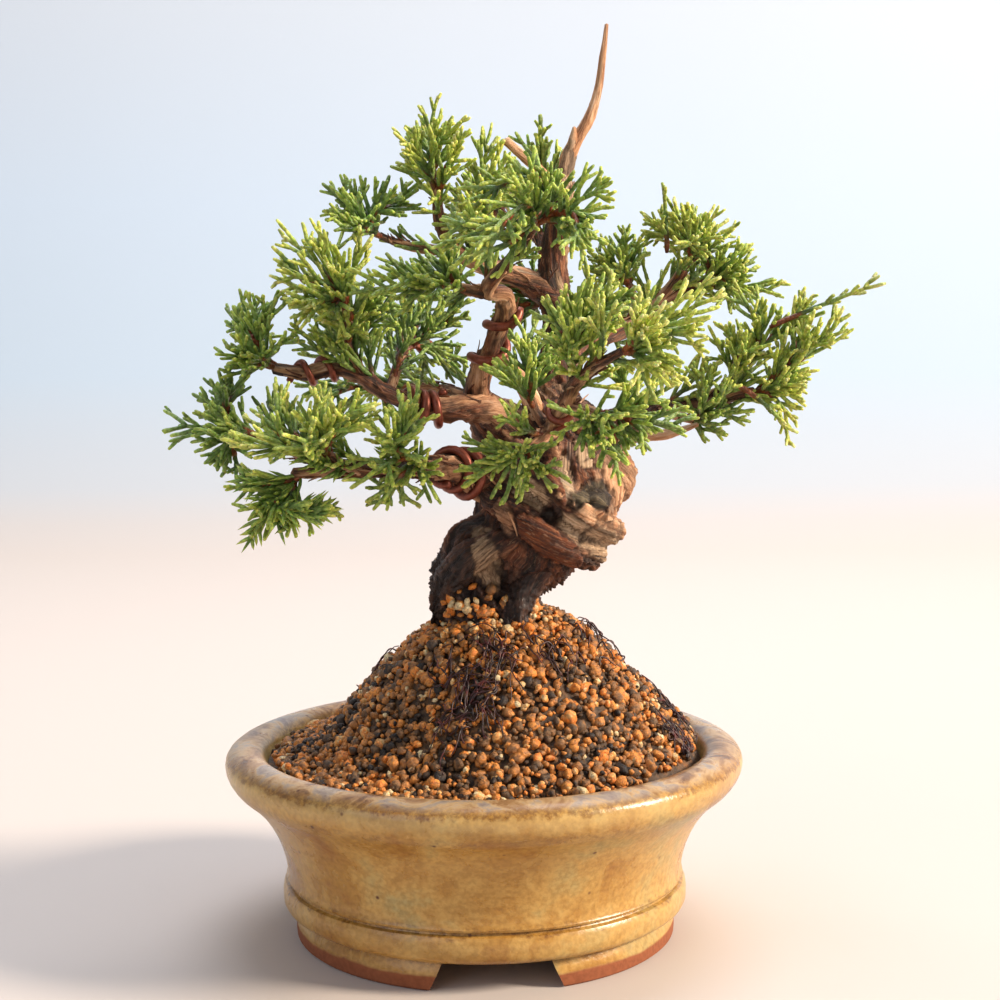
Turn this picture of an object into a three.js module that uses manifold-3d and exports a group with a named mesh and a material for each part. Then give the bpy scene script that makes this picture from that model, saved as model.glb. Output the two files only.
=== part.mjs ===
// A small juniper bonsai in a round glazed pot: three feet, a belt and a thick rolled rim, a mound
// of granular soil, a twisted trunk with dead wood, wired branches and scale-leaved foliage.
// Millimetres, +Z up, standing on z = 0. While it is made, the pot's axis is the Z axis; the whole
// is then moved so that the origin lies under the middle of its bounding box.

import * as THREE from 'three';
import { mergeVertices } from 'three/addons/utils/BufferGeometryUtils.js';
import Module from 'manifold-3d';

const wasm = await Module();
wasm.setup();

// ---------------------------------------------------------------- driving dimensions

const RIM_RADIUS = 60;           // widest point of the rolled rim
const RIM_TOP = 44.7;            // height of the rim
const MOUTH_RADIUS = 50.6;       // opening inside the rim
const FOOT_RADIUS = 44.2;        // outside of the foot ring
const FOOT_HEIGHT = 6.6;         // height of the cut between two feet
const FOOT_RING_WIDTH = 8;       // radial width of the foot ring
const FOOT_CUT_TOP = 23;         // width of the cut at its top
const FOOT_CUT_BOTTOM = 29;      // width of the cut at the ground
const FOOT_CUT_TURN = 3.2;       // degrees from the front to the middle of the front cut
const FEET = 3;
const FLOOR_TOP = 12;            // inside of the pot's floor
const DRAIN_RADIUS = 6;          // drainage hole
const POT_SIDES = 32;

const SCREEN_RADIUS = 9.5;       // plastic mesh over the drainage hole
const SCREEN_THICKNESS = 1.2;
const SCREEN_PITCH = 4;          // from one mesh opening to the next
const SCREEN_OPENING = 2.6;
const SCREEN_SIDES = 20;

const GAP = 0.3;                 // clearance between pieces that touch
const SOIL_EDGE = 42.6;          // height of the soil at the pot's wall
const SOIL_RISE = 33.5;          // height of the mound above that edge
const SOIL_REACH = 52;           // radius at which the mound has run out
const SOIL_CENTRE = [3, 1];      // the mound's peak, off the pot's axis
const GRAIN_SIZE = 6.4;          // soil granules, larger than life
const GRAIN_COUNT = 46;
const SOIL_SIDES = 48;           // the rest of the granules are relief on rings of this many points
const SOIL_RINGS = 13;
const SOIL_RELIEF = 1.5;

const WIRE_RADIUS = 1.0;         // annealed aluminium wire on the limbs
const THIN_WIRE_RADIUS = 0.75;   // and on the finer branches
const TWIG_RADIUS = 0.8;         // green branchlet that carries the shoots
const SHOOT_THICKNESS = 1.5;     // one scale-leaved shoot
const SHOOT_LENGTH = [6, 9.5];
const FORK_SPACING = 3.6;        // from one fork of a spray to the next
const WHORL_SPACING = 6.3;       // along a branchlet
const WHORL_TWIST = 40;          // degrees from one whorl of shoots to the next
const SHOOT_ANGLE = [34, 50];    // degrees from the branchlet

// ---------------------------------------------------------------- materials

function finish(colour, roughness, metalness = 0) {
  return new THREE.MeshStandardMaterial({ color: colour, roughness, metalness });
}

const GLAZE = finish(0xb68c4a, 0.3);
const GRANULES = finish(0x96602c, 0.95);
const BARK = finish(0x7d4c30, 0.85);
const LEAF = finish(0x5f8a34, 0.6);
const YOUNG_LEAF = finish(0x9db544, 0.6);
const WIRE = finish(0x6f4335, 0.4, 0.8);
const PLASTIC_MESH = finish(0x2c2c2a, 0.7);

// ---------------------------------------------------------------- general helpers

// Seeded draws, so that the same tree grows each time.
function seeded(seed) {
  let state = seed;
  return (low = 0, high = 1) => {
    state = (state + 0x6d2b79f5) | 0;
    let mixed = Math.imul(state ^ (state >>> 15), 1 | state);
    mixed = (mixed + Math.imul(mixed ^ (mixed >>> 7), 61 | mixed)) ^ mixed;
    return low + (high - low) * (((mixed ^ (mixed >>> 14)) >>> 0) / 4294967296);
  };
}

function vec([x, y, z]) {
  return new THREE.Vector3(x, y, z);
}

// A closed geometry as a solid.
function solid(geometry) {
  const bare = geometry.clone();
  bare.deleteAttribute('normal');
  bare.deleteAttribute('uv');
  const merged = mergeVertices(bare, 1e-4);
  return new wasm.Manifold(new wasm.Mesh({
    numProp: 3,
    vertProperties: new Float32Array(merged.attributes.position.array),
    triVerts: new Uint32Array(merged.index.array),
  }));
}

// The biggest body of a solid: loose scraps that a cut leaves are dropped.
function mainBody(shape) {
  const bodies = shape.decompose();
  return bodies.reduce((best, body) => (body.volume() > best.volume() ? body : best));
}

function fuse(shapes) {
  return shapes.reduce((whole, shape) => whole.add(shape));
}

function named(name, shape, material) {
  const { vertProperties, triVerts } = mainBody(shape).getMesh();
  const geometry = new THREE.BufferGeometry();
  geometry.setAttribute('position', new THREE.BufferAttribute(vertProperties, 3));
  geometry.setIndex(new THREE.BufferAttribute(triVerts, 1));
  geometry.computeVertexNormals();
  const mesh = new THREE.Mesh(geometry, material);
  mesh.name = name;
  return mesh;
}

// Stations [x, y, z, radius] as a smooth path: points, radii and turning-free frames.
function path(stations, stepsPerSpan) {
  const curve = new THREE.CatmullRomCurve3(stations.map(vec));
  const spans = stations.length - 1;
  const steps = spans * stepsPerSpan;
  const rings = [];
  let side = null;
  for (let i = 0; i <= steps; i += 1) {
    const t = i / steps;
    const centre = curve.getPoint(t);
    const along = curve.getTangent(t);
    const span = Math.min(Math.floor(t * spans), spans - 1);
    const radius = THREE.MathUtils.lerp(stations[span][3], stations[span + 1][3], t * spans - span);
    if (side === null) {
      side = Math.abs(along.z) < 0.9 ? new THREE.Vector3(0, 0, 1) : new THREE.Vector3(1, 0, 0);
    }
    side = side.clone().addScaledVector(along, -side.dot(along)).normalize();
    rings.push({ centre, along, side, across: along.clone().cross(side), radius });
  }
  return rings;
}

// A closed tube round a path, with a rounded point at each end.
function tube(rings, sides) {
  const positions = [];
  const faces = [];
  const first = rings[0];
  const last = rings[rings.length - 1];
  for (const ring of rings) {
    for (let j = 0; j < sides; j += 1) {
      const turn = (2 * Math.PI * j) / sides;
      const point = ring.centre.clone()
        .addScaledVector(ring.side, ring.radius * Math.cos(turn))
        .addScaledVector(ring.across, ring.radius * Math.sin(turn));
      positions.push(...point.toArray());
    }
  }
  const startPole = rings.length * sides;
  positions.push(...first.centre.clone().addScaledVector(first.along, -first.radius / 2).toArray());
  positions.push(...last.centre.clone().addScaledVector(last.along, last.radius / 2).toArray());
  for (let i = 0; i < rings.length - 1; i += 1) {
    for (let j = 0; j < sides; j += 1) {
      const a = i * sides + j;
      const b = i * sides + ((j + 1) % sides);
      faces.push(a, b, b + sides, a, b + sides, a + sides);
    }
  }
  const lastRing = (rings.length - 1) * sides;
  for (let j = 0; j < sides; j += 1) {
    const next = (j + 1) % sides;
    faces.push(startPole, next, j);
    faces.push(startPole + 1, lastRing + j, lastRing + next);
  }
  const geometry = new THREE.BufferGeometry();
  geometry.setAttribute('position', new THREE.BufferAttribute(new Float32Array(positions), 3));
  geometry.setIndex(faces);
  return geometry;
}

function limb(stations, sides, stepsPerSpan = 2) {
  return solid(tube(path(stations, stepsPerSpan), sides));
}

// ---------------------------------------------------------------- pot and drainage screen

// Outside of the pot from the foot to the rim, then down the inside, as [radius, height].
const OUTER_PROFILE = [
  [FOOT_RADIUS, 0], [FOOT_RADIUS, 4.6], [43.4, 6.4], [46.6, 7.6], [47, 12], [45.8, 13.4],
  [46.1, 17], [47.6, 22.5], [50.4, 28.4], [54.6, 33.4], [57.6, 36], [59.6, 38.6], [RIM_RADIUS, 41],
  [58.6, 43.4], [55.6, RIM_TOP], [52.4, 44.3],
];
const INNER_PROFILE = [
  [MOUTH_RADIUS, 41.6], [49.2, 36], [47, 30], [44, 24], [41.6, 17], [38, FLOOR_TOP],
];
const RECESS_TOP = FOOT_HEIGHT;

function makePot() {
  const ringInside = FOOT_RADIUS - FOOT_RING_WIDTH;
  const profile = [
    ...OUTER_PROFILE, ...INNER_PROFILE, [DRAIN_RADIUS, FLOOR_TOP], [DRAIN_RADIUS, RECESS_TOP],
    [ringInside, RECESS_TOP], [ringInside, 0], [FOOT_RADIUS, 0],
  ];
  const lathe = new THREE.LatheGeometry(profile.map(([r, z]) => new THREE.Vector2(r, z)), POT_SIDES);
  lathe.rotateX(Math.PI / 2);
  let pot = solid(lathe);
  const cut = new THREE.Shape([
    new THREE.Vector2(-FOOT_CUT_BOTTOM / 2 - 1, -1),
    new THREE.Vector2(FOOT_CUT_BOTTOM / 2 + 1, -1),
    new THREE.Vector2(FOOT_CUT_TOP / 2, RECESS_TOP),
    new THREE.Vector2(-FOOT_CUT_TOP / 2, RECESS_TOP),
  ]);
  for (let i = 0; i < FEET; i += 1) {
    const block = new THREE.ExtrudeGeometry(cut, { depth: 25, bevelEnabled: false });
    block.rotateX(Math.PI / 2);
    block.translate(0, -FOOT_RADIUS + 20, 0);
    block.rotateZ(THREE.MathUtils.degToRad(FOOT_CUT_TURN + (360 / FEET) * i));
    pot = pot.subtract(solid(block));
  }
  return named('pot', pot, GLAZE);
}

function makeScreen() {
  const disc = new THREE.CylinderGeometry(SCREEN_RADIUS, SCREEN_RADIUS, SCREEN_THICKNESS, SCREEN_SIDES);
  let screen = solid(disc.rotateX(Math.PI / 2));
  const reach = Math.floor(SCREEN_RADIUS / SCREEN_PITCH);
  for (let i = -reach; i <= reach; i += 1) {
    for (let j = -reach; j <= reach; j += 1) {
      const x = i * SCREEN_PITCH;
      const y = j * SCREEN_PITCH;
      if (Math.hypot(x, y) + SCREEN_OPENING < SCREEN_RADIUS) {
        const opening = new THREE.BoxGeometry(SCREEN_OPENING, SCREEN_OPENING, 2 * SCREEN_THICKNESS);
        screen = screen.subtract(solid(opening.translate(x, y, 0)));
      }
    }
  }
  return named('drain_screen', screen.translate([0, 0, FLOOR_TOP + GAP + SCREEN_THICKNESS / 2]), PLASTIC_MESH);
}

// ---------------------------------------------------------------- trunk, limbs and dead wood

// Each limb is a list of stations [x, y, z, radius]. The trunk leaves the soil upright, bends over
// to the right in a thick twisted knot and goes on up behind the foliage.
const TRUNK_SIDES = 10;
const STRAND_SIDES = 5;
const TRUNK = [
  [[1, 2, 51, 12.6], [1, 2, 62, 13.6], [0, 2, 72, 13.2], [-1, 2.5, 80, 12.4], [2, 3, 87, 11], [8, 4, 92, 9.5]],
  [[4, 3, 84, 10], [11, 1, 91, 13], [17, 0, 99, 14.5], [19, 1, 107, 15], [18, 3, 115, 12], [16, 6, 121, 8]],
  [[17, 4, 113, 9], [16.5, 7, 122, 7], [17.5, 8.5, 130, 5.2], [18.8, 10, 137, 4.6], [18.2, 12, 144, 4.3],
    [16.7, 12, 151, 4], [17.3, 11, 160, 3.5], [19.2, 8, 170, 2.8], [18.6, 8, 175, 2.4]],
];
// Strands of live bark that wind down over the knot, standing proud of it.
const STRANDS = [
  [[2, -6, 104, 5], [9, -11.5, 99, 5], [17, -13, 93, 4.6], [24, -9, 89, 4], [27, -2, 88, 3]],
  [[6, -9, 112, 4.6], [14, -13, 106, 4.4], [22, -13.5, 99, 4.2], [29, -8, 94, 3.6], [31, 0, 92, 3]],
  [[-11, -2, 66, 4], [-11, -4, 76, 4], [-6, -8, 85, 4], [2, -10, 91, 3.6], [8, -10, 94, 3]],
  [[8, -9, 62, 4], [7, -9.5, 72, 3.6], [9, -8, 80, 3.4], [14, -7, 86, 3.4]],
  [[28, -6, 112, 5], [31, -1, 107, 5], [31, 6, 103, 4.4], [27, 11, 99, 4]],
  [[-6, 11, 64, 5], [-2, 12, 76, 5], [5, 12, 86, 5], [14, 12, 94, 5], [22, 12, 103, 4.6], [26, 10, 111, 4]],
  [[12, 9, 62, 4.4], [10, 10, 74, 4.4], [4, 11, 86, 4.4], [2, 10, 97, 4.4], [6, 9, 108, 4]],
];
const SAWN_STUB = [[20, -6, 101, 5], [26, -13, 100.5, 3.8], [27.4, -15.2, 100.4, 3.4]];

const LIMBS = {
  left_middle: [[6, 0, 117, 5], [0.7, -6, 122, 3.4], [-6, -10, 122.4, 2.7], [-12.7, -12, 122.4, 2.4],
    [-17.7, -14, 124.4, 1.9], [-22.7, -16, 127, 1.7], [-26.6, -16, 129.8, 1.6], [-32, -16, 131.6, 1.7],
    [-39, -18, 130.6, 1.6], [-45.2, -20, 131.8, 1.3]],
  left_middle_up: [[-26, -16, 129.4, 1.4], [-29, -16, 135.6, 1.1], [-29, -18, 141.6, 1]],
  left_middle_side: [[-26, -16, 129.4, 1.2], [-28.6, -14.2, 132.8, 1], [-29.5, -11.8, 136, 0.9]],
  left_middle_back: [[-20.4, -14.6, 126.4, 1.2], [-18.5, -5, 133.6, 0.9], [-16.2, 4.4, 136.6, 0.8]],
  left_low: [[10, 1, 106, 8], [3, -4, 106.5, 6.2], [-3, -9, 107.5, 4.4], [-8, -16, 109.5, 3],
    [-13.4, -25, 109.8, 2.1], [-21.6, -34, 110.5, 1.7], [-32, -38, 110.9, 1.3], [-39.2, -40, 110.5, 1.1]],
  left_low_up: [[-30, -37.6, 110.9, 1.2], [-38, -33, 113.4, 1], [-45, -28.4, 116.6, 0.9]],
  left_low_front: [[-26, -36.2, 110.7, 1.3], [-29.5, -40.6, 112.4, 1], [-31.4, -43.4, 114.4, 0.9]],
  left_low_right: [[-12, -22.6, 109.7, 1.9], [-13.6, -30.5, 111.4, 1.2], [-15.2, -36, 112.6, 1]],
  left_arm: [[6, 3, 112, 6], [1.4, -1, 119, 4.2], [-1, -5.6, 125, 3], [0, -10, 131, 2.5],
    [3, -14, 137.5, 2.2], [5.2, -18, 144, 2.1], [4.6, -21.4, 147.4, 2], [1.2, -24.4, 148, 1.7],
    [4.8, -32, 153.2, 1.2], [8.6, -38.6, 157.4, 1], [11, -43, 160.6, 0.9]],
  left_arm_side: [[1.6, -24, 148, 1.6], [-2.4, -27.4, 148.2, 1.1], [-5.4, -29, 149, 1]],
  front: [[14, -2, 111, 6], [14.6, -14, 114.4, 2.8], [14.8, -26, 118.6, 1.9], [17.4, -38, 124.6, 1.5],
    [18.8, -47, 128.6, 1.4], [22.6, -55, 132.4, 1.1], [27.4, -61.6, 135.6, 0.9]],
  front_up: [[18.6, -46, 128.2, 1.2], [18.2, -48.8, 131.6, 0.9], [17.6, -49.6, 134, 0.8]],
  front_low: [[17.4, -38, 124.4, 1.3], [21, -41.6, 123.4, 1], [24.4, -43.4, 122.6, 0.9]],
  front_hang: [[14.8, -26, 118, 1.5], [11.6, -30.4, 116, 1], [9.4, -32.6, 114.4, 0.9]],
  front_left: [[14.6, -24, 118.2, 1.5], [11.4, -26.4, 122.4, 1], [10.6, -27.2, 125, 0.9]],
  right: [[23, 6, 111, 6], [32.5, 9, 117, 3.2], [41, 10, 121, 2.3], [47.9, 8, 121.9, 1.9], [54, 6, 122.7, 1.6],
    [59, 4, 124.4, 1.3], [63, 2.4, 125.2, 1]],
  right_up: [[52, 6.8, 122.4, 1.3], [56.6, 6.4, 126.4, 1], [58.8, 6, 129, 0.9]],
  right_under: [[42, 9.6, 121, 1.6], [47, 5, 119.2, 1.1], [49.6, 2.6, 118.6, 0.9]],
  right_back: [[18.5, 9, 133, 4.4], [24, 15, 136, 2.7], [30, 21, 138, 2.2], [38, 27, 141.2, 1.9],
    [42, 30, 145, 1.6], [46, 30, 149, 1.4], [49.6, 28.6, 154, 1.1]],
  right_back_side: [[43.4, 30.2, 146.6, 1.3], [50, 30.6, 149.2, 1], [53, 30.4, 150, 0.9]],
  right_back_left: [[40, 28.6, 143.2, 1.4], [37.4, 30, 148, 1], [36.6, 30.4, 150.6, 0.9]],
  crown: [[17, 12, 148, 4], [10.3, 10, 151.3, 2.6], [2.1, 6, 154, 1.9], [-5.9, 2, 158, 1.6],
    [-9.3, 0, 164.2, 1.4], [-9.9, -2, 170.2, 1], [-10.4, -2.6, 173.4, 0.9]],
  crown_left: [[-5, 2.4, 157.6, 1.4], [-14.3, 0, 158.4, 1.1], [-20.4, -3, 160, 0.9], [-22.6, -4.4, 161, 0.9]],
  crown_right: [[1.4, 5.8, 154.4, 1.4], [0.6, 2.4, 160, 1.1], [-0.4, 0.6, 164.4, 0.9]],
  apex_twig: [[18.4, 8.4, 171, 1.8], [14.8, 12.4, 174.8, 1], [13.8, 13.2, 176.6, 0.9]],
  back_middle: [[18.5, 10, 138, 4.2], [20, 22, 140, 2.2], [26, 34, 141.4, 1.6], [32.6, 41.4, 142.6, 1.1]],
  back_top: [[17.2, 11, 157, 3.4], [14, 20, 162, 1.8], [8, 28, 166, 1.3], [3.6, 32.6, 168.8, 1]],
  back_low: [[12, 8, 114, 6], [6, 18, 120, 2.8], [-2, 28, 123, 1.8], [-12, 36, 125.4, 1.3], [-19.4, 38.6, 125.6, 1]],
  inner: [[18.2, 12, 145, 2.4], [14.4, 17.2, 146.4, 1.2], [12.6, 19, 147.4, 0.9]],
};
// Dead wood: a tall spike and a cut stub at the top, a splintered stub and a long pale arm.
const JINS = {
  spike: [[18.6, 8, 172, 2.3], [21, 8, 181, 1.9], [24.6, 8, 187.2, 1.6], [26.9, 8, 193, 1.2],
    [28.3, 8, 202, 0.9], [29.2, 8, 209.4, 0.5]],
  spike_spur: [[20, 8, 178, 1.2], [21.4, 6.6, 183.6, 1.1], [21.6, 6.2, 186, 0.5]],
  top_stub: [[19.2, 8, 169, 2.2], [14.7, 4.4, 175, 1.3], [5.8, 0, 182.4, 1.15]],
  splinter: [[14, 2, 116, 3], [10.9, -5, 124, 2.3], [7.4, -8, 131, 1.9], [1.6, -9.4, 138.8, 0.6]],
  arm: [[25, 3, 110, 4], [32, 2, 114, 1.6], [37, 1, 115, 1.4], [43, -1, 115.8, 1.3], [49.2, -3.4, 118, 0.6]],
};

function withClearance(stations, sides) {
  return limb(stations.map(([x, y, z, radius]) => [x, y, z, radius + 2 * GAP]), sides, 1);
}

function makeTree() {
  const pieces = [
    ...TRUNK.map((stations) => limb(stations, TRUNK_SIDES, 1)),
    ...STRANDS.map((stations) => limb(stations, STRAND_SIDES, 1)),
    limb(SAWN_STUB, 7, 1),
    ...Object.values(LIMBS).map((stations) => limb(stations, stations.length > 3 ? 5 : 4, 1)),
    ...Object.values(JINS).map((stations) => limb(stations, 5, 1)),
  ];
  return named('tree', fuse(pieces), BARK);
}

// ---------------------------------------------------------------- soil

function moundHeight(x, y) {
  const out = Math.min(Math.hypot(x - SOIL_CENTRE[0], y - SOIL_CENTRE[1]) / SOIL_REACH, 1);
  return SOIL_EDGE + SOIL_RISE * (0.5 + 0.5 * Math.cos(Math.PI * out ** 1.35));
}

// The mound's body fills the pot. Its top is a relief of granules, with some standing out whole, and
// the trunk stands in a plain hole.
function makeSoil() {
  const draw = seeded(11);
  const wall = MOUTH_RADIUS - GAP - 0.4;
  const overScreen = FLOOR_TOP + SCREEN_THICKNESS + 2 * GAP;
  const inside = INNER_PROFILE.slice().reverse().map(([r, z]) => [r - GAP - 0.3, z + 0.05]);
  inside[0][1] = FLOOR_TOP + GAP;
  inside.pop();
  const rings = Array.from({ length: SOIL_RINGS }, (_, i) => wall * (0.98 - (0.74 * i) / (SOIL_RINGS - 1)));
  const profile = [
    [0, overScreen], [SCREEN_RADIUS + 0.6, overScreen], [SCREEN_RADIUS + 0.6, FLOOR_TOP + GAP],
    ...inside, [wall, 41], ...rings.map((r) => [r, SOIL_EDGE + 0.5]), [0, SOIL_EDGE + 0.5],
  ];
  const lathe = new THREE.LatheGeometry(profile.map(([r, z]) => new THREE.Vector2(r, z)), SOIL_SIDES);
  lathe.rotateX(Math.PI / 2);
  lathe.deleteAttribute('normal');
  lathe.deleteAttribute('uv');
  const body = mergeVertices(lathe, 1e-3);
  const place = body.attributes.position;
  for (let i = 0; i < place.count; i += 1) {
    if (place.getZ(i) > SOIL_EDGE) {
      const relief = draw(-SOIL_RELIEF, SOIL_RELIEF);
      place.setZ(i, moundHeight(place.getX(i), place.getY(i)) + relief);
    }
  }
  const shapes = [solid(body)];
  const goldenTurn = Math.PI * (3 - Math.sqrt(5));
  for (let i = 0; i < GRAIN_COUNT; i += 1) {
    const out = Math.sqrt((i + 2.5) / (GRAIN_COUNT + 2)) * (wall - GRAIN_SIZE * 0.62);
    const x = out * Math.cos(i * goldenTurn);
    const y = out * Math.sin(i * goldenTurn);
    const granule = new THREE.OctahedronGeometry(GRAIN_SIZE * draw(0.42, 0.56));
    granule.scale(1, draw(0.8, 1), draw(0.7, 0.95));
    granule.rotateX(draw(0, 3));
    granule.rotateZ(draw(0, 6));
    granule.translate(x, y, moundHeight(x, y) - 0.4);
    shapes.push(solid(granule));
  }
  const cuts = [withClearance(TRUNK[0], TRUNK_SIDES), ...STRANDS.map((strand) => withClearance(strand, STRAND_SIDES))];
  return named('soil', fuse(shapes).subtract(fuse(cuts)), GRANULES);
}

// ---------------------------------------------------------------- training wires

// Each wire winds round one limb from one share of its length to another.
const WIRES = {
  wire_left_middle: { round: 'left_middle', from: 0.26, to: 0.43, turns: 3.2, radius: WIRE_RADIUS, start: 0 },
  wire_left_middle_tip: { round: 'left_middle', from: 0.76, to: 0.93, turns: 2.2, radius: THIN_WIRE_RADIUS, start: 1 },
  wire_left_low: { round: 'left_low', from: 0.28, to: 0.45, turns: 2.2, radius: WIRE_RADIUS, start: 2.4 },
  wire_left_arm: { round: 'left_arm', from: 0.3, to: 0.5, turns: 1.8, radius: WIRE_RADIUS, start: 0.6 },
  wire_front: { round: 'front', from: 0.39, to: 0.47, turns: 1.5, radius: THIN_WIRE_RADIUS, start: 3 },
  wire_right: { round: 'right', from: 0.17, to: 0.28, turns: 1.8, radius: WIRE_RADIUS, start: 1.2 },
  wire_right_back: { round: 'right_back', from: 0.46, to: 0.6, turns: 1.5, radius: THIN_WIRE_RADIUS, start: 2 },
};
const WIRE_STEPS_PER_TURN = 8;
const WIRE_CLEARANCE = 0.75;     // a limb's straight stretches lie outside its curve in places

function wireStations({ round, from, to, turns, radius, start }) {
  const rings = path(LIMBS[round], 24);
  const steps = Math.ceil(turns * WIRE_STEPS_PER_TURN);
  const stations = [];
  for (let i = 0; i <= steps; i += 1) {
    const t = from + ((to - from) * i) / steps;
    const ring = rings[Math.round(t * (rings.length - 1))];
    const turn = start + (2 * Math.PI * turns * i) / steps;
    const out = ring.radius + radius + WIRE_CLEARANCE;
    const point = ring.centre.clone()
      .addScaledVector(ring.side, out * Math.cos(turn))
      .addScaledVector(ring.across, out * Math.sin(turn));
    stations.push([...point.toArray(), radius]);
  }
  return stations;
}

function makeWires() {
  return Object.entries(WIRES).map(([name, wire]) => named(name, limb(wireStations(wire), 5, 1), WIRE));
}

// ---------------------------------------------------------------- foliage

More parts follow.
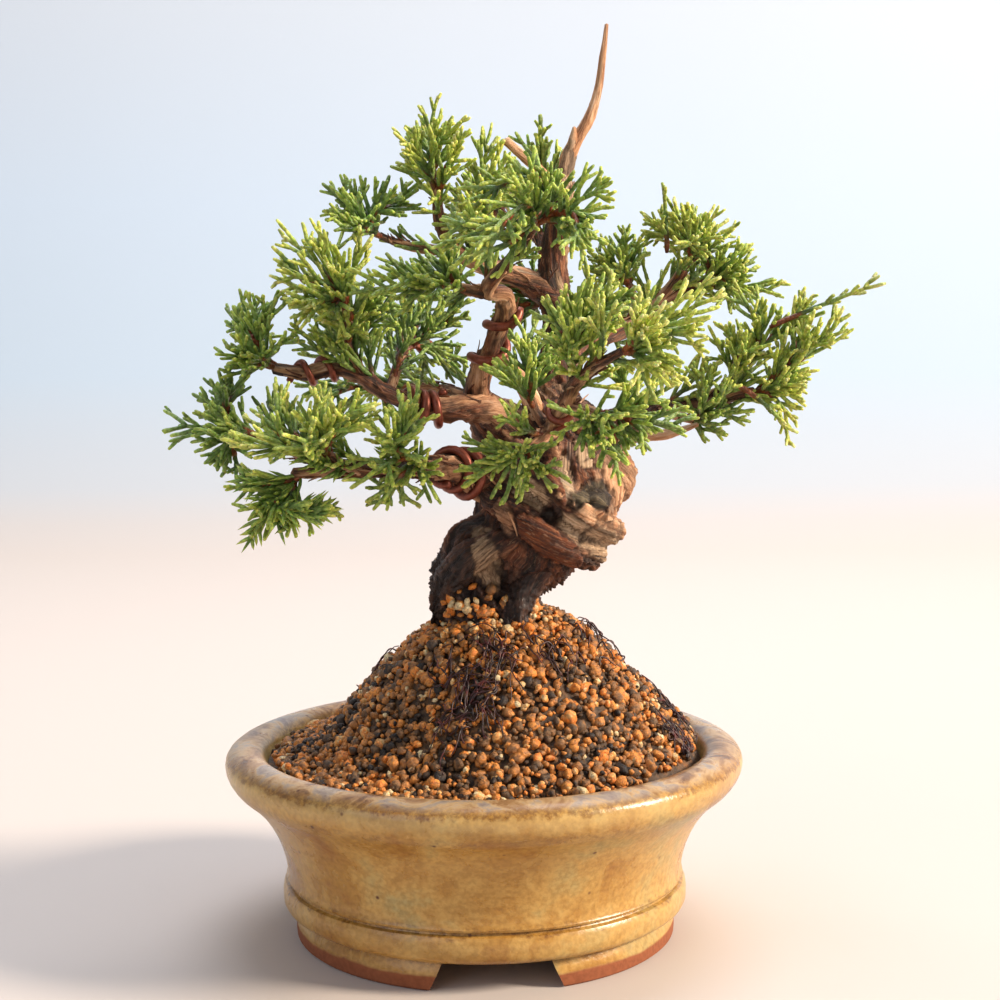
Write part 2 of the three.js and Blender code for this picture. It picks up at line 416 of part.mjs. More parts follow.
// Sprays of scale-leaved shoots. Each has its root, just past the end of the twig that carries it,
// and the tips of its branchlets; the shoots stand along the branchlets.
const SPRAYS = {
  far_left: { twig: 'left_low_up', leaf: LEAF, tips: [[-67, -26, 120], [-63, -20, 125], [-56, -30, 131],
    [-53, -18, 132], [-60, -36, 117], [-58, -30, 112], [-53, -34, 108]] },
  low_front: { twig: 'left_low_front', leaf: YOUNG_LEAF, tips: [[-43, -44, 130], [-36, -54, 128], [-32, -46, 127],
    [-47, -48, 122], [-49, -52, 117], [-35, -62, 119], [-24, -56, 126]] },
  low_droop: { twig: 'left_low', leaf: LEAF, tips: [[-50, -42, 94], [-39, -54, 100], [-32, -50, 99],
    [-55, -37, 105], [-43, -48, 97]] },
  low_right: { twig: 'left_low_right', leaf: LEAF, tips: [[-22, -36, 102], [-17, -32, 102], [-14, -46, 128],
    [-17, -52, 125], [-26, -56, 110], [-9, -50, 109], [-19, -60, 120]] },
  mid_top: { twig: 'left_middle_up', leaf: YOUNG_LEAF, tips: [[-43, -16, 161], [-36, -26, 161], [-34, -12, 162],
    [-25, -20, 161], [-45, -24, 155], [-46, -12, 152], [-29, -34, 154], [-38, -36, 146]] },
  mid_left: { twig: 'left_middle', leaf: LEAF, tips: [[-55, -22, 144], [-54, -12, 149], [-48, -22, 151],
    [-54, -32, 138], [-54, -24, 132], [-49, -8, 140], [-40, -36, 140]] },
  mid_right: { twig: 'left_middle_side', leaf: LEAF, tips: [[-20, -14, 146], [-24, -8, 149], [-32, 1, 144],
    [-38, -6, 139]] },
  twig_back: { twig: 'left_middle_back', leaf: LEAF, tips: [[-3, 8, 145], [-8, 2, 148], [-3, 14, 130],
    [-12, 10, 128], [-20, 14, 142], [-15, 20, 147]] },
  front_low_left: { twig: 'left_arm_side', leaf: LEAF, tips: [[-24, -30, 154], [-25, -38, 148], [-17, -42, 152],
    [-12, -28, 156], [-19, -24, 146], [-10, -42, 146]] },
  front_top: { twig: 'left_arm', leaf: LEAF, tips: [[-10, -46, 161], [-3, -40, 168], [-10, -54, 156], [4, -44, 174],
    [-2, -56, 154], [2, -64, 160], [8, -58, 168], [16, -50, 172], [26, -56, 168], [23, -62, 162], [24, -50, 157],
    [18, -66, 154], [11, -46, 175]] },
  crown: { twig: 'crown', leaf: YOUNG_LEAF, tips: [[-11, -4, 189], [-8, -8, 188], [-14, 2, 187], [-17, -8, 181],
    [-18, 2, 178], [-4, -5, 185], [-5, -16, 178], [-9, 9, 184]] },
  crown_left: { twig: 'crown_left', leaf: LEAF, tips: [[-33, -8, 172], [-34, -2, 169], [-33, -10, 165], [-29, 2, 173],
    [-22, -6, 174], [-19, 6, 172], [-24, -20, 165]] },
  crown_mid: { twig: 'crown_right', leaf: YOUNG_LEAF, tips: [[0, -10, 169], [4, 3, 176], [2, 2, 183], [4, -6, 178],
    [-3, -16, 162], [-5, 14, 171]] },
  top_small: { twig: 'apex_twig', leaf: LEAF, tips: [[13, 6, 186], [15, 10, 184], [12, 20, 181], [21, 20, 180]] },
  up_right_a: { twig: 'right_back_left', leaf: LEAF, tips: [[33, 28, 165], [26, 24, 158], [36, 38, 164], [31, 18, 155],
    [30, 26, 147], [40, 44, 158]] },
  up_right_b: { twig: 'right_back', leaf: YOUNG_LEAF, tips: [[41, 28, 166], [46, 34, 169], [47, 20, 168], [51, 28, 171],
    [55, 36, 169], [59, 24, 167], [63, 32, 164], [49, 10, 160], [56, 44, 164]] },
  up_right_c: { twig: 'right_back_side', leaf: LEAF, tips: [[65, 30, 160], [66, 22, 158], [68, 34, 156], [68, 26, 152],
    [61, 18, 146], [73, 30, 149], [61, 44, 151]] },
  right_top: { twig: 'right_up', leaf: YOUNG_LEAF, tips: [[67, 6, 149], [64, 0, 146], [74, 8, 146], [65, 14, 141],
    [76, 3, 145], [58, 4, 141], [60, -12, 137]] },
  right_tip: { twig: 'right', leaf: YOUNG_LEAF, tips: [[89, -4, 148], [83, -8, 143], [82, 2, 150], [78, -2, 136],
    [79, 6, 133], [74, -2, 117], [79, 4, 128], [72, -10, 128], [69, 9, 121]] },
  right_under: { twig: 'right_under', leaf: LEAF, tips: [[56, 2, 116], [52, -4, 114], [62, -4, 121], [52, -6, 134],
    [57, -12, 129], [49, -12, 124]] },
  front_up: { twig: 'front_up', leaf: LEAF, tips: [[11, -46, 145], [16, -52, 149], [22, -46, 148], [28, -54, 147],
    [24, -42, 144], [13, -58, 140], [20, -64, 142]] },
  front_right: { twig: 'front', leaf: YOUNG_LEAF, tips: [[44, -64, 146], [43, -60, 140], [30, -70, 145], [38, -72, 134],
    [39, -60, 130], [32, -79, 141], [31, -76, 131]] },
  front_low: { twig: 'front_low', leaf: LEAF, tips: [[28, -42, 110], [34, -38, 115], [41, -42, 120], [32, -52, 126],
    [24, -56, 118], [38, -46, 127], [15, -52, 119]] },
  front_hang: { twig: 'front_hang', leaf: LEAF, tips: [[-3, -34, 115], [-5, -36, 108], [0, -33, 103], [9, -40, 107],
    [4, -46, 113], [14, -40, 107]] },
  front_left: { twig: 'front_left', leaf: LEAF, tips: [[1, -32, 130], [7, -24, 140], [10, -20, 143], [12, -34, 139],
    [6, -40, 131]] },
  back_inner: { twig: 'inner', leaf: LEAF, tips: [[8, 18, 143], [10, 24, 150], [4, 18, 139], [16, 30, 149], [6, 26, 142]] },
  back_right: { twig: 'back_middle', leaf: LEAF, tips: [[28, 50, 142], [42, 58, 148], [50, 54, 140], [52, 44, 148],
    [44, 58, 135], [38, 46, 130], [23, 58, 146]] },
  back_top: { twig: 'back_top', leaf: LEAF, tips: [[8, 34, 181], [-3, 42, 177], [10, 46, 173], [-9, 34, 170],
    [15, 40, 177], [2, 50, 167]] },
  back_left: { twig: 'back_low', leaf: LEAF, tips: [[-46, 38, 126], [-39, 46, 119], [-27, 52, 122], [-43, 30, 121],
    [-34, 50, 132], [-22, 42, 134], [-20, 50, 114]] },
};

// What the foliage keeps clear of: straight stretches of wood, wire, sprays and their branchlets.
const occupied = [];

function occupy(owner, stations, part = 0) {
  for (let i = 1; i < stations.length; i += 1) {
    occupied.push({
      owner, part, a: vec(stations[i - 1]), b: vec(stations[i]),
      radius: Math.max(stations[i - 1][3], stations[i][3]),
    });
  }
}

function stretchDistance(a, b, c, d) {
  let closest = Infinity;
  const samples = 6;
  const line = new THREE.Line3(c, d);
  const nearest = new THREE.Vector3();
  for (let i = 0; i <= samples; i += 1) {
    const point = a.clone().lerp(b, i / samples);
    line.closestPointToPoint(point, true, nearest);
    closest = Math.min(closest, point.distanceTo(nearest));
  }
  return closest;
}

// The stretch keeps clear of the other pieces and, by less, of the other parts of its own spray.
function isClear(owner, stations, part) {
  for (let i = 1; i < stations.length; i += 1) {
    const a = vec(stations[i - 1]);
    const b = vec(stations[i]);
    const radius = Math.max(stations[i - 1][3], stations[i][3]);
    for (const other of occupied) {
      const own = other.owner === owner;
      const room = radius + other.radius + (own ? 0 : 2 * GAP);
      if ((!own || other.part !== part) && stretchDistance(a, b, other.a, other.b) < room) {
        return false;
      }
    }
  }
  return true;
}

// Where a twig ends and the way it points there.
function twigEnd(name) {
  const stations = LIMBS[name];
  const end = stations[stations.length - 1];
  const along = vec(end).sub(vec(stations[stations.length - 2])).normalize();
  return { root: vec(end).addScaledVector(along, end[3] / 2 + GAP + TWIG_RADIUS / 2), along };
}

// A curved line to a tip that sets out the given way, moved aside where it would cross another piece.
function branchletLine(owner, part, root, setOut, tip, draw) {
  for (let attempt = 0; attempt < 16; attempt += 1) {
    const aside = new THREE.Vector3(draw(-1, 1), draw(-1, 1), draw(-1, 1)).multiplyScalar(attempt * 0.6);
    const end = tip.clone().add(aside);
    const reach = root.distanceTo(end);
    const bend = root.clone().lerp(end, 0.3).addScaledVector(setOut, reach * 0.25);
    const line = new THREE.QuadraticBezierCurve3(root, bend, end);
    const stations = [0, 0.12, 0.3, 0.55, 0.8, 1].map((u) => [...line.getPointAt(u).toArray(), TWIG_RADIUS]);
    const setsOut = vec(stations[2]).sub(root).normalize().dot(setOut) > 0.6;
    if (setsOut && isClear(owner, stations.slice(1), part)) {
      occupy(owner, stations, part);
      return line;
    }
  }
  return null;
}

// Rings to be set along a line, with frames that don't turn by themselves.
function stemRings(line, stops, side) {
  const length = line.getLength();
  let turned = side;
  return stops.map((stop) => {
    const centre = line.getPointAt(stop.at / length);
    const along = line.getTangentAt(stop.at / length);
    turned = turned.clone().addScaledVector(along, -turned.dot(along)).normalize();
    return { ...stop, centre, along, side: turned, across: along.clone().cross(turned) };
  });
}

function ringDirection(ring, turn) {
  return ring.side.clone().multiplyScalar(Math.cos(turn)).addScaledVector(ring.across, Math.sin(turn));
}

// A closed skin is grown in three steps: rings of corners, faces between them, and a pointed end.
function addRing(skin, ring, sides) {
  return Array.from({ length: sides }, (_, j) => {
    const turn = ring.twist + (2 * Math.PI * j) / sides;
    return skin.points.push(ring.centre.clone().addScaledVector(ringDirection(ring, turn), ring.radius)) - 1;
  });
}

function addPoint(skin, corners, point) {
  const end = skin.points.push(point) - 1;
  corners.forEach((corner, j) => skin.faces.push(corner, corners[(j + 1) % corners.length], end));
}

// What is drawn out of a face takes its place; `drawOut` says whether it has drawn something.
function growStem(skin, corners, rings, tip, drawOut) {
  const sides = corners.length;
  let previous = corners;
  for (const ring of rings) {
    const next = addRing(skin, ring, sides);
    for (let j = 0; j < sides; j += 1) {
      const k = (j + 1) % sides;
      const face = [previous[j], previous[k], next[k], next[j]];
      if (!ring.whorl || !drawOut(face, ring, j)) {
        skin.faces.push(face[0], face[1], face[2], face[0], face[2], face[3]);
      }
    }
    previous = next;
  }
  addPoint(skin, previous, tip);
}

function faceCentre(skin, face) {
  return face.reduce((sum, n) => sum.add(skin.points[n]), new THREE.Vector3()).divideScalar(face.length);
}

// A pointed shoot drawn out of a face, if there is room for it.
function drawShoot(skin, owner, part, face, ring, draw) {
  const foot = faceCentre(skin, face);
  const outward = foot.clone().sub(ring.centre);
  outward.addScaledVector(ring.along, -outward.dot(ring.along)).normalize();
  const angle = THREE.MathUtils.degToRad(draw(...SHOOT_ANGLE));
  const way = outward.multiplyScalar(Math.sin(angle)).addScaledVector(ring.along, Math.cos(angle));
  const tip = foot.clone().addScaledVector(way, draw(...SHOOT_LENGTH));
  const radius = SHOOT_THICKNESS * 0.3;
  const stretch = [[...foot.toArray(), radius], [...tip.toArray(), radius]];
  if (!isClear(owner, stretch, part)) {
    return false;
  }
  occupy(owner, stretch, part);
  addPoint(skin, face, tip);
  return true;
}

// Stops for the whorls of shoots between two distances along a line.
function whorlStops(from, to, radius, firstTwist) {
  const whorls = Math.max(0, Math.round((to - from) / WHORL_SPACING));
  const stops = [];
  for (let k = 0; k < whorls; k += 1) {
    const at = from + ((to - from) * (k + 0.5)) / whorls;
    const twist = firstTwist + THREE.MathUtils.degToRad(WHORL_TWIST * k);
    stops.push({ at: at - SHOOT_THICKNESS / 2, radius, twist });
    stops.push({ at: at + SHOOT_THICKNESS / 2, radius, twist, whorl: true });
  }
  return stops;
}

// The branchlet that goes furthest the way of the twig is the spray's leader. The others leave it by threes,
// each out of the face that lies nearest its own way.
function planSpray(name, { twig, tips }, draw) {
  const { root, along } = twigEnd(twig);
  const onward = (tip) => vec(tip).sub(root).dot(along);
  const [first, ...others] = tips.slice().sort((a, b) => onward(b) - onward(a));
  const leader = branchletLine(name, 0, root, along, vec(first), draw);
  const side = Math.abs(along.z) < 0.9 ? new THREE.Vector3(0, 0, 1) : new THREE.Vector3(1, 0, 0);
  const feet = Math.ceil(others.length / 3);
  const atFoot = Array.from({ length: feet }, (_, k) => 2.5 + FORK_SPACING * k);
  const sights = stemRings(leader, atFoot.map((at) => ({ at })), side);
  const turnTo = (tip, sight) => {
    const way = vec(tip).sub(sight.centre);
    return Math.atan2(way.dot(sight.across), way.dot(sight.side));
  };
  const byTurn = others.sort((a, b) => turnTo(a, sights[0]) - turnTo(b, sights[0]));
  const third = (2 * Math.PI) / 3;
  let twist = turnTo(byTurn[0], sights[0]) - third / 2;
  const stops = [{ at: 0, radius: TWIG_RADIUS, twist }];
  const whorlsOfBranchlets = sights.map((sight, k) => {
    const mine = byTurn.filter((_, i) => i % feet === k);
    const turned = turnTo(mine[0], sight) - third / 2 - twist;
    twist += turned - third * Math.round(turned / third);
    stops.push({ at: sight.at - SHOOT_THICKNESS / 2, radius: TWIG_RADIUS, twist });
    stops.push({ at: sight.at + SHOOT_THICKNESS / 2, radius: TWIG_RADIUS, twist, whorl: true, foot: k });
    const lines = [null, null, null];
    for (const tip of mine) {
      const turn = THREE.MathUtils.euclideanModulo(turnTo(tip, sight) - twist, 2 * Math.PI);
      let face = Math.floor(turn / third);
      while (lines[face]) {
        face = (face + 1) % 3;
      }
      const outward = ringDirection(sight, twist + third * (face + 0.5));
      const start = sight.centre.clone().addScaledVector(outward, TWIG_RADIUS / 2);
      const setOut = outward.clone().addScaledVector(sight.along, 0.5).normalize();
      lines[face] = branchletLine(name, 1 + k * 3 + face, start, setOut, vec(tip), draw);
    }
    return lines;
  });
  stops.push(...whorlStops(atFoot[feet - 1] + 4, leader.getLength() * 0.95, TWIG_RADIUS, twist));
  return { name, leader, side, stops, whorlsOfBranchlets };
}

function growSpray({ name, leader, side, stops, whorlsOfBranchlets }, leaf, draw) {
  const skin = { points: [], faces: [] };
  const [start, ...rings] = stemRings(leader, stops, side);
  const corners = addRing(skin, start, 3);
  addPoint(skin, corners.slice().reverse(), start.centre.clone().addScaledVector(start.along, -TWIG_RADIUS / 2));
  growStem(skin, corners, rings, leader.getPointAt(1), (face, ring, j) => {
    if (ring.foot === undefined) {
      return drawShoot(skin, name, 0, face, ring, draw);
    }
    const line = whorlsOfBranchlets[ring.foot][j];
    if (!line) {
      return false;
    }
    const part = 1 + ring.foot * 3 + j;
    const reach = line.getLength();
    const corner = skin.points[face[0]].clone().sub(faceCentre(skin, face));
    const whorls = whorlStops(reach * 0.3, reach * 0.96, TWIG_RADIUS * 0.95, 0);
    growStem(skin, face, stemRings(line, whorls, corner), line.getPointAt(1),
      (shootFace, shootRing) => drawShoot(skin, name, part, shootFace, shootRing, draw));
    return true;
  });
  const geometry = new THREE.BufferGeometry().setFromPoints(skin.points);
  geometry.setIndex(skin.faces);
  return named(`spray_${name}`, solid(geometry), leaf);
}

function makeSprays() {
  const draw = seeded(5);
  const plans = Object.entries(SPRAYS).map(([name, spray]) => planSpray(name, spray, draw));
  return plans.map((plan) => growSpray(plan, SPRAYS[plan.name].leaf, draw));
}

// ---------------------------------------------------------------- assembly

[...TRUNK, ...STRANDS, SAWN_STUB, ...Object.values(LIMBS), ...Object.values(JINS)]
  .forEach((stations) => occupy('tree', path(stations, 2).map((ring) => [...ring.centre.toArray(), ring.radius])));
Object.values(WIRES).forEach((wire) => occupy('wire', wireStations(wire)));

const bonsai = new THREE.Group();
bonsai.add(makePot(), makeScreen(), makeSoil(), makeTree(), ...makeWires(), ...makeSprays());

const middle = new THREE.Box3().setFromObject(bonsai).getCenter(new THREE.Vector3());
bonsai.position.set(-middle.x, -middle.y, 0);

export default bonsai;
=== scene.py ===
"""A small juniper bonsai in a round glazed pot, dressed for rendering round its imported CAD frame.

Lengths named in millimetres are measured from the pot's axis at table height, as in the part's source.
"""

import math
import random
from functools import partial

import bmesh
import bpy
import numpy as np
from bpy.props import FloatProperty, FloatVectorProperty, IntProperty, PointerProperty
from mathutils import Matrix, Vector, noise


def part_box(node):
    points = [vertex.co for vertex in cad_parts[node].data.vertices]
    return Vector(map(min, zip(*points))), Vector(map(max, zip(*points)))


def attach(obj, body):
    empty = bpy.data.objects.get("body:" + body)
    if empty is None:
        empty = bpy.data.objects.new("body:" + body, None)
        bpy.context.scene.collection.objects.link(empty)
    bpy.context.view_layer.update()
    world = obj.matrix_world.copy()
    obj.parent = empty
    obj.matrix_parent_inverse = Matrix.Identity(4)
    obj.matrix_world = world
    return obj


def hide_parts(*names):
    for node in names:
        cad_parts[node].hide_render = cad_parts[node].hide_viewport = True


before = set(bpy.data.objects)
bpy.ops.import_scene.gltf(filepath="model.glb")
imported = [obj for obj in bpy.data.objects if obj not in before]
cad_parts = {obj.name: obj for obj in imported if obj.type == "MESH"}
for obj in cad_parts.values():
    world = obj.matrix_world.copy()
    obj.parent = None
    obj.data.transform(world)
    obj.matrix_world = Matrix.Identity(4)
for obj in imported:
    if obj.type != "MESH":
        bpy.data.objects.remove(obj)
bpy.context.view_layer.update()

bl_info = {
    "name": "Potted juniper bonsai",
    "version": (1, 0, 0),
    "blender": (4, 5, 0),
    "location": "3D View > Sidebar > Bonsai",
    "description": "Builds the pot, soil, wood, wires and foliage of a small juniper bonsai",
    "category": "Object",
}

MM = 0.001
POT_LOW, POT_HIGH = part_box("pot")
POT_AXIS = np.array([(POT_LOW.x + POT_HIGH.x) / 2, (POT_LOW.y + POT_HIGH.y) / 2, 0.0])

# ------------------------------------------------------------------ shapes taken over from the CAD

# The pot's outline: its foot ring from the recess under the floor to its outer edge, the outside up to the
# rim, the inside down to the floor, and the drainage hole. Each point is radius, height.
FOOT_RING = [(35.2, 6.6), (36.2, 5.6), (36.2, 0.5), (36.7, 0.0), (43.6, 0.0), (44.2, 0.5)]
POT_OUTSIDE = [
    (44.3, 1.6), (44.2, 3.4), (43.9, 4.8), (43.4, 5.7), (43.3, 6.3), (45.4, 6.9), (46.7, 7.8), (47.1, 8.6),
    (47.2, 10.8), (47.0, 12.2), (46.6, 12.9), (45.7, 13.2), (45.5, 13.6), (46.2, 13.9), (46.4, 14.4), (46.1, 14.9),
    (46.2, 17.0), (46.7, 19.6), (47.5, 22.3), (48.7, 25.2), (50.3, 28.2), (52.3, 31.0), (54.5, 33.3), (56.4, 34.9),
    (57.5, 35.8), (58.4, 36.8), (59.2, 38.0), (59.8, 39.4), (60.0, 40.8), (59.8, 42.0), (59.2, 43.0), (58.2, 43.8),
    (56.8, 44.4), (55.2, 44.7), (53.6, 44.6), (52.2, 44.1), (51.2, 43.1), (50.7, 41.8),
]
POT_INSIDE = [(49.8, 38.5), (49.0, 35.5), (47.0, 30.0), (44.0, 24.0), (41.6, 17.0), (39.6, 13.2), (36.5, 12.0)]
DRAIN_HOLE = [(6.6, 12.0), (6.0, 11.4), (6.0, 7.2), (6.6, 6.6)]
# The gaps between the feet: how wide at top and bottom, how long and how far out, and the first one's turn.
FEET = 3
FOOT_HEIGHT = 6.6
FOOT_CUT_TOP = 23.0
FOOT_CUT_BOTTOM = 29.0
FOOT_CUT_LENGTH = 26.0
FOOT_CUT_OUT = 39.7
FOOT_CUT_TURN = 3.2

# The soil's mound: the height of its edge, how far it rises over it, how far out from its centre it runs,
# and the radius of the pot's wall round it.
SOIL_EDGE = 42.6
SOIL_RISE = 33.5
SOIL_REACH = 52.0
SOIL_CENTRE = (3.0, 1.0)
SOIL_WALL = 50.2

# Wood as stations of x, y, z and radius: the trunk in three lengths, the strands twisted round it, a stub,
# the limbs with their twigs, and the dead wood.
TRUNK = [
    [(1, 2, 51, 12.6), (1, 2, 62, 13.6), (0, 2, 72, 13.2), (-1, 2.5, 80, 12.4), (2, 3, 87, 11), (8, 4, 92, 9.5)],
    [(4, 3, 84, 10), (11, 1, 91, 13), (17, 0, 99, 14.5), (19, 1, 107, 15), (18, 3, 115, 12), (16, 6, 121, 8)],
    [(17, 4, 113, 9), (16.5, 7, 122, 7), (17.5, 8.5, 130, 5.2), (18.8, 10, 137, 4.6), (18.2, 12, 144, 4.3),
     (16.7, 12, 151, 4), (17.3, 11, 160, 3.5), (19.2, 8, 170, 2.8), (18.6, 8, 175, 2.4)],
]
STRANDS = [
    [(2, -6, 104, 5), (9, -11.5, 99, 5), (17, -13, 93, 4.6), (24, -9, 89, 4), (27, -2, 88, 3)],
    [(6, -9, 112, 4.6), (14, -13, 106, 4.4), (22, -13.5, 99, 4.2), (29, -8, 94, 3.6), (31, 0, 92, 3)],
    [(-11, -2, 66, 4), (-11, -4, 76, 4), (-6, -8, 85, 4), (2, -10, 91, 3.6), (8, -10, 94, 3)],
    [(8, -9, 62, 4), (7, -9.5, 72, 3.6), (9, -8, 80, 3.4), (14, -7, 86, 3.4)],
    [(28, -6, 112, 5), (31, -1, 107, 5), (31, 6, 103, 4.4), (27, 11, 99, 4)],
    [(-6, 11, 64, 5), (-2, 12, 76, 5), (5, 12, 86, 5), (14, 12, 94, 5), (22, 12, 103, 4.6), (26, 10, 111, 4)],
    [(12, 9, 62, 4.4), (10, 10, 74, 4.4), (4, 11, 86, 4.4), (2, 10, 97, 4.4), (6, 9, 108, 4)],
]
SAWN_STUB = [(20, -6, 101, 5), (26, -13, 100.5, 3.8), (27.4, -15.2, 100.4, 3.4)]
LIMBS = {
    "left_middle": [(6, 0, 117, 5), (0.7, -6, 122, 3.4), (-6, -10, 122.4, 2.7), (-12.7, -12, 122.4, 2.4),
        (-17.7, -14, 124.4, 1.9), (-22.7, -16, 127, 1.7), (-26.6, -16, 129.8, 1.6), (-32, -16, 131.6, 1.7),
        (-39, -18, 130.6, 1.6), (-45.2, -20, 131.8, 1.3)],
    "left_middle_up": [(-26, -16, 129.4, 1.4), (-29, -16, 135.6, 1.1), (-29, -18, 141.6, 1)],
    "left_middle_side": [(-26, -16, 129.4, 1.2), (-28.6, -14.2, 132.8, 1), (-29.5, -11.8, 136, 0.9)],
    "left_middle_back": [(-20.4, -14.6, 126.4, 1.2), (-18.5, -5, 133.6, 0.9), (-16.2, 4.4, 136.6, 0.8)],
    "left_low": [(10, 1, 106, 8), (3, -4, 106.5, 6.2), (-3, -9, 107.5, 4.4), (-8, -16, 109.5, 3),
        (-13.4, -25, 109.8, 2.1), (-21.6, -34, 110.5, 1.7), (-32, -38, 110.9, 1.3), (-39.2, -40, 110.5, 1.1)],
    "left_low_up": [(-30, -37.6, 110.9, 1.2), (-38, -33, 113.4, 1), (-45, -28.4, 116.6, 0.9)],
    "left_low_front": [(-26, -36.2, 110.7, 1.3), (-29.5, -40.6, 112.4, 1), (-31.4, -43.4, 114.4, 0.9)],
    "left_low_right": [(-12, -22.6, 109.7, 1.9), (-13.6, -30.5, 111.4, 1.2), (-15.2, -36, 112.6, 1)],
    "left_arm": [(6, 3, 112, 6), (1.4, -1, 119, 4.2), (-1, -5.6, 125, 3), (0, -10, 131, 2.5), (3, -14, 137.5, 2.2),
        (5.2, -18, 144, 2.1), (4.6, -21.4, 147.4, 2), (1.2, -24.4, 148, 1.7), (4.8, -32, 153.2, 1.2),
        (8.6, -38.6, 157.4, 1), (11, -43, 160.6, 0.9)],
    "left_arm_side": [(1.6, -24, 148, 1.6), (-2.4, -27.4, 148.2, 1.1), (-5.4, -29, 149, 1)],
    "front": [(14, -2, 111, 6), (14.6, -14, 114.4, 2.8), (14.8, -26, 118.6, 1.9), (17.4, -38, 124.6, 1.5),
        (18.8, -47, 128.6, 1.4), (22.6, -55, 132.4, 1.1), (27.4, -61.6, 135.6, 0.9)],
    "front_up": [(18.6, -46, 128.2, 1.2), (18.2, -48.8, 131.6, 0.9), (17.6, -49.6, 134, 0.8)],
    "front_low": [(17.4, -38, 124.4, 1.3), (21, -41.6, 123.4, 1), (24.4, -43.4, 122.6, 0.9)],
    "front_hang": [(14.8, -26, 118, 1.5), (11.6, -30.4, 116, 1), (9.4, -32.6, 114.4, 0.9)],
    "front_left": [(14.6, -24, 118.2, 1.5), (11.4, -26.4, 122.4, 1), (10.6, -27.2, 125, 0.9)],
    "right": [(23, 6, 111, 6), (32.5, 9, 117, 3.2), (41, 10, 121, 2.3), (47.9, 8, 121.9, 1.9), (54, 6, 122.7, 1.6),
        (59, 4, 124.4, 1.3), (63, 2.4, 125.2, 1)],
    "right_up": [(52, 6.8, 122.4, 1.3), (56.6, 6.4, 126.4, 1), (58.8, 6, 129, 0.9)],
    "right_under": [(42, 9.6, 121, 1.6), (47, 5, 119.2, 1.1), (49.6, 2.6, 118.6, 0.9)],
    "right_back": [(18.5, 9, 133, 4.4), (24, 15, 136, 2.7), (30, 21, 138, 2.2), (38, 27, 141.2, 1.9),
        (42, 30, 145, 1.6), (46, 30, 149, 1.4), (49.6, 28.6, 154, 1.1)],
    "right_back_side": [(43.4, 30.2, 146.6, 1.3), (50, 30.6, 149.2, 1), (53, 30.4, 150, 0.9)],
    "right_back_left": [(40, 28.6, 143.2, 1.4), (37.4, 30, 148, 1), (36.6, 30.4, 150.6, 0.9)],
    "crown": [(17, 12, 148, 4), (10.3, 10, 151.3, 2.6), (2.1, 6, 154, 1.9), (-5.9, 2, 158, 1.6),
        (-9.3, 0, 164.2, 1.4), (-9.9, -2, 170.2, 1), (-10.4, -2.6, 173.4, 0.9)],
    "crown_left": [(-5, 2.4, 157.6, 1.4), (-14.3, 0, 158.4, 1.1), (-20.4, -3, 160, 0.9), (-22.6, -4.4, 161, 0.9)],
    "crown_right": [(1.4, 5.8, 154.4, 1.4), (0.6, 2.4, 160, 1.1), (-0.4, 0.6, 164.4, 0.9)],
    "apex_twig": [(18.4, 8.4, 171, 1.8), (14.8, 12.4, 174.8, 1), (13.8, 13.2, 176.6, 0.9)],
    "back_middle": [(18.5, 10, 138, 4.2), (20, 22, 140, 2.2), (26, 34, 141.4, 1.6), (32.6, 41.4, 142.6, 1.1)],
    "back_top": [(17.2, 11, 157, 3.4), (14, 20, 162, 1.8), (8, 28, 166, 1.3), (3.6, 32.6, 168.8, 1)],
    "back_low": [(12, 8, 114, 6), (6, 18, 120, 2.8), (-2, 28, 123, 1.8), (-12, 36, 125.4, 1.3),
        (-19.4, 38.6, 125.6, 1)],
    "inner": [(18.2, 12, 145, 2.4), (14.4, 17.2, 146.4, 1.2), (12.6, 19, 147.4, 0.9)],
}
DEAD_WOOD = {
    "spike": [(18.6, 8, 172, 2.3), (21, 8, 181, 1.9), (24.6, 8, 187.2, 1.6), (26.9, 8, 193, 1.2), (28.3, 8, 202, 0.9),
        (29.2, 8, 209.4, 0.5)],
    "spike_spur": [(20, 8, 178, 1.2), (21.4, 6.6, 183.6, 1.1), (21.6, 6.2, 186, 0.5)],
    "top_stub": [(19.2, 8, 169, 2.2), (14.7, 4.4, 175, 1.3), (5.8, 0, 182.4, 1.15)],
    "splinter": [(14, 2, 116, 3), (10.9, -5, 124, 2.3), (7.4, -8, 131, 1.9), (1.6, -9.4, 138.8, 0.6)],
    "arm": [(25, 3, 110, 4), (32, 2, 114, 1.6), (37, 1, 115, 1.4), (43, -1, 115.8, 1.3), (49.2, -3.4, 118, 0.6)],
}

# Wires: the limb each winds round, the shares of its length, turns, radius and first turn.
WIRES = {
    "wire_left_middle": ("left_middle", 0.26, 0.43, 3.2, 1.0, 0.0),
    "wire_left_middle_tip": ("left_middle", 0.76, 0.93, 2.2, 0.75, 1.0),
    "wire_left_low": ("left_low", 0.28, 0.45, 2.2, 1.0, 2.4),
    "wire_left_arm": ("left_arm", 0.3, 0.5, 1.8, 1.0, 0.6),
    "wire_front": ("front", 0.39, 0.47, 1.5, 0.75, 3.0),
    "wire_right": ("right", 0.17, 0.28, 1.8, 1.0, 1.2),
    "wire_right_back": ("right_back", 0.46, 0.6, 1.5, 0.75, 2.0),
}

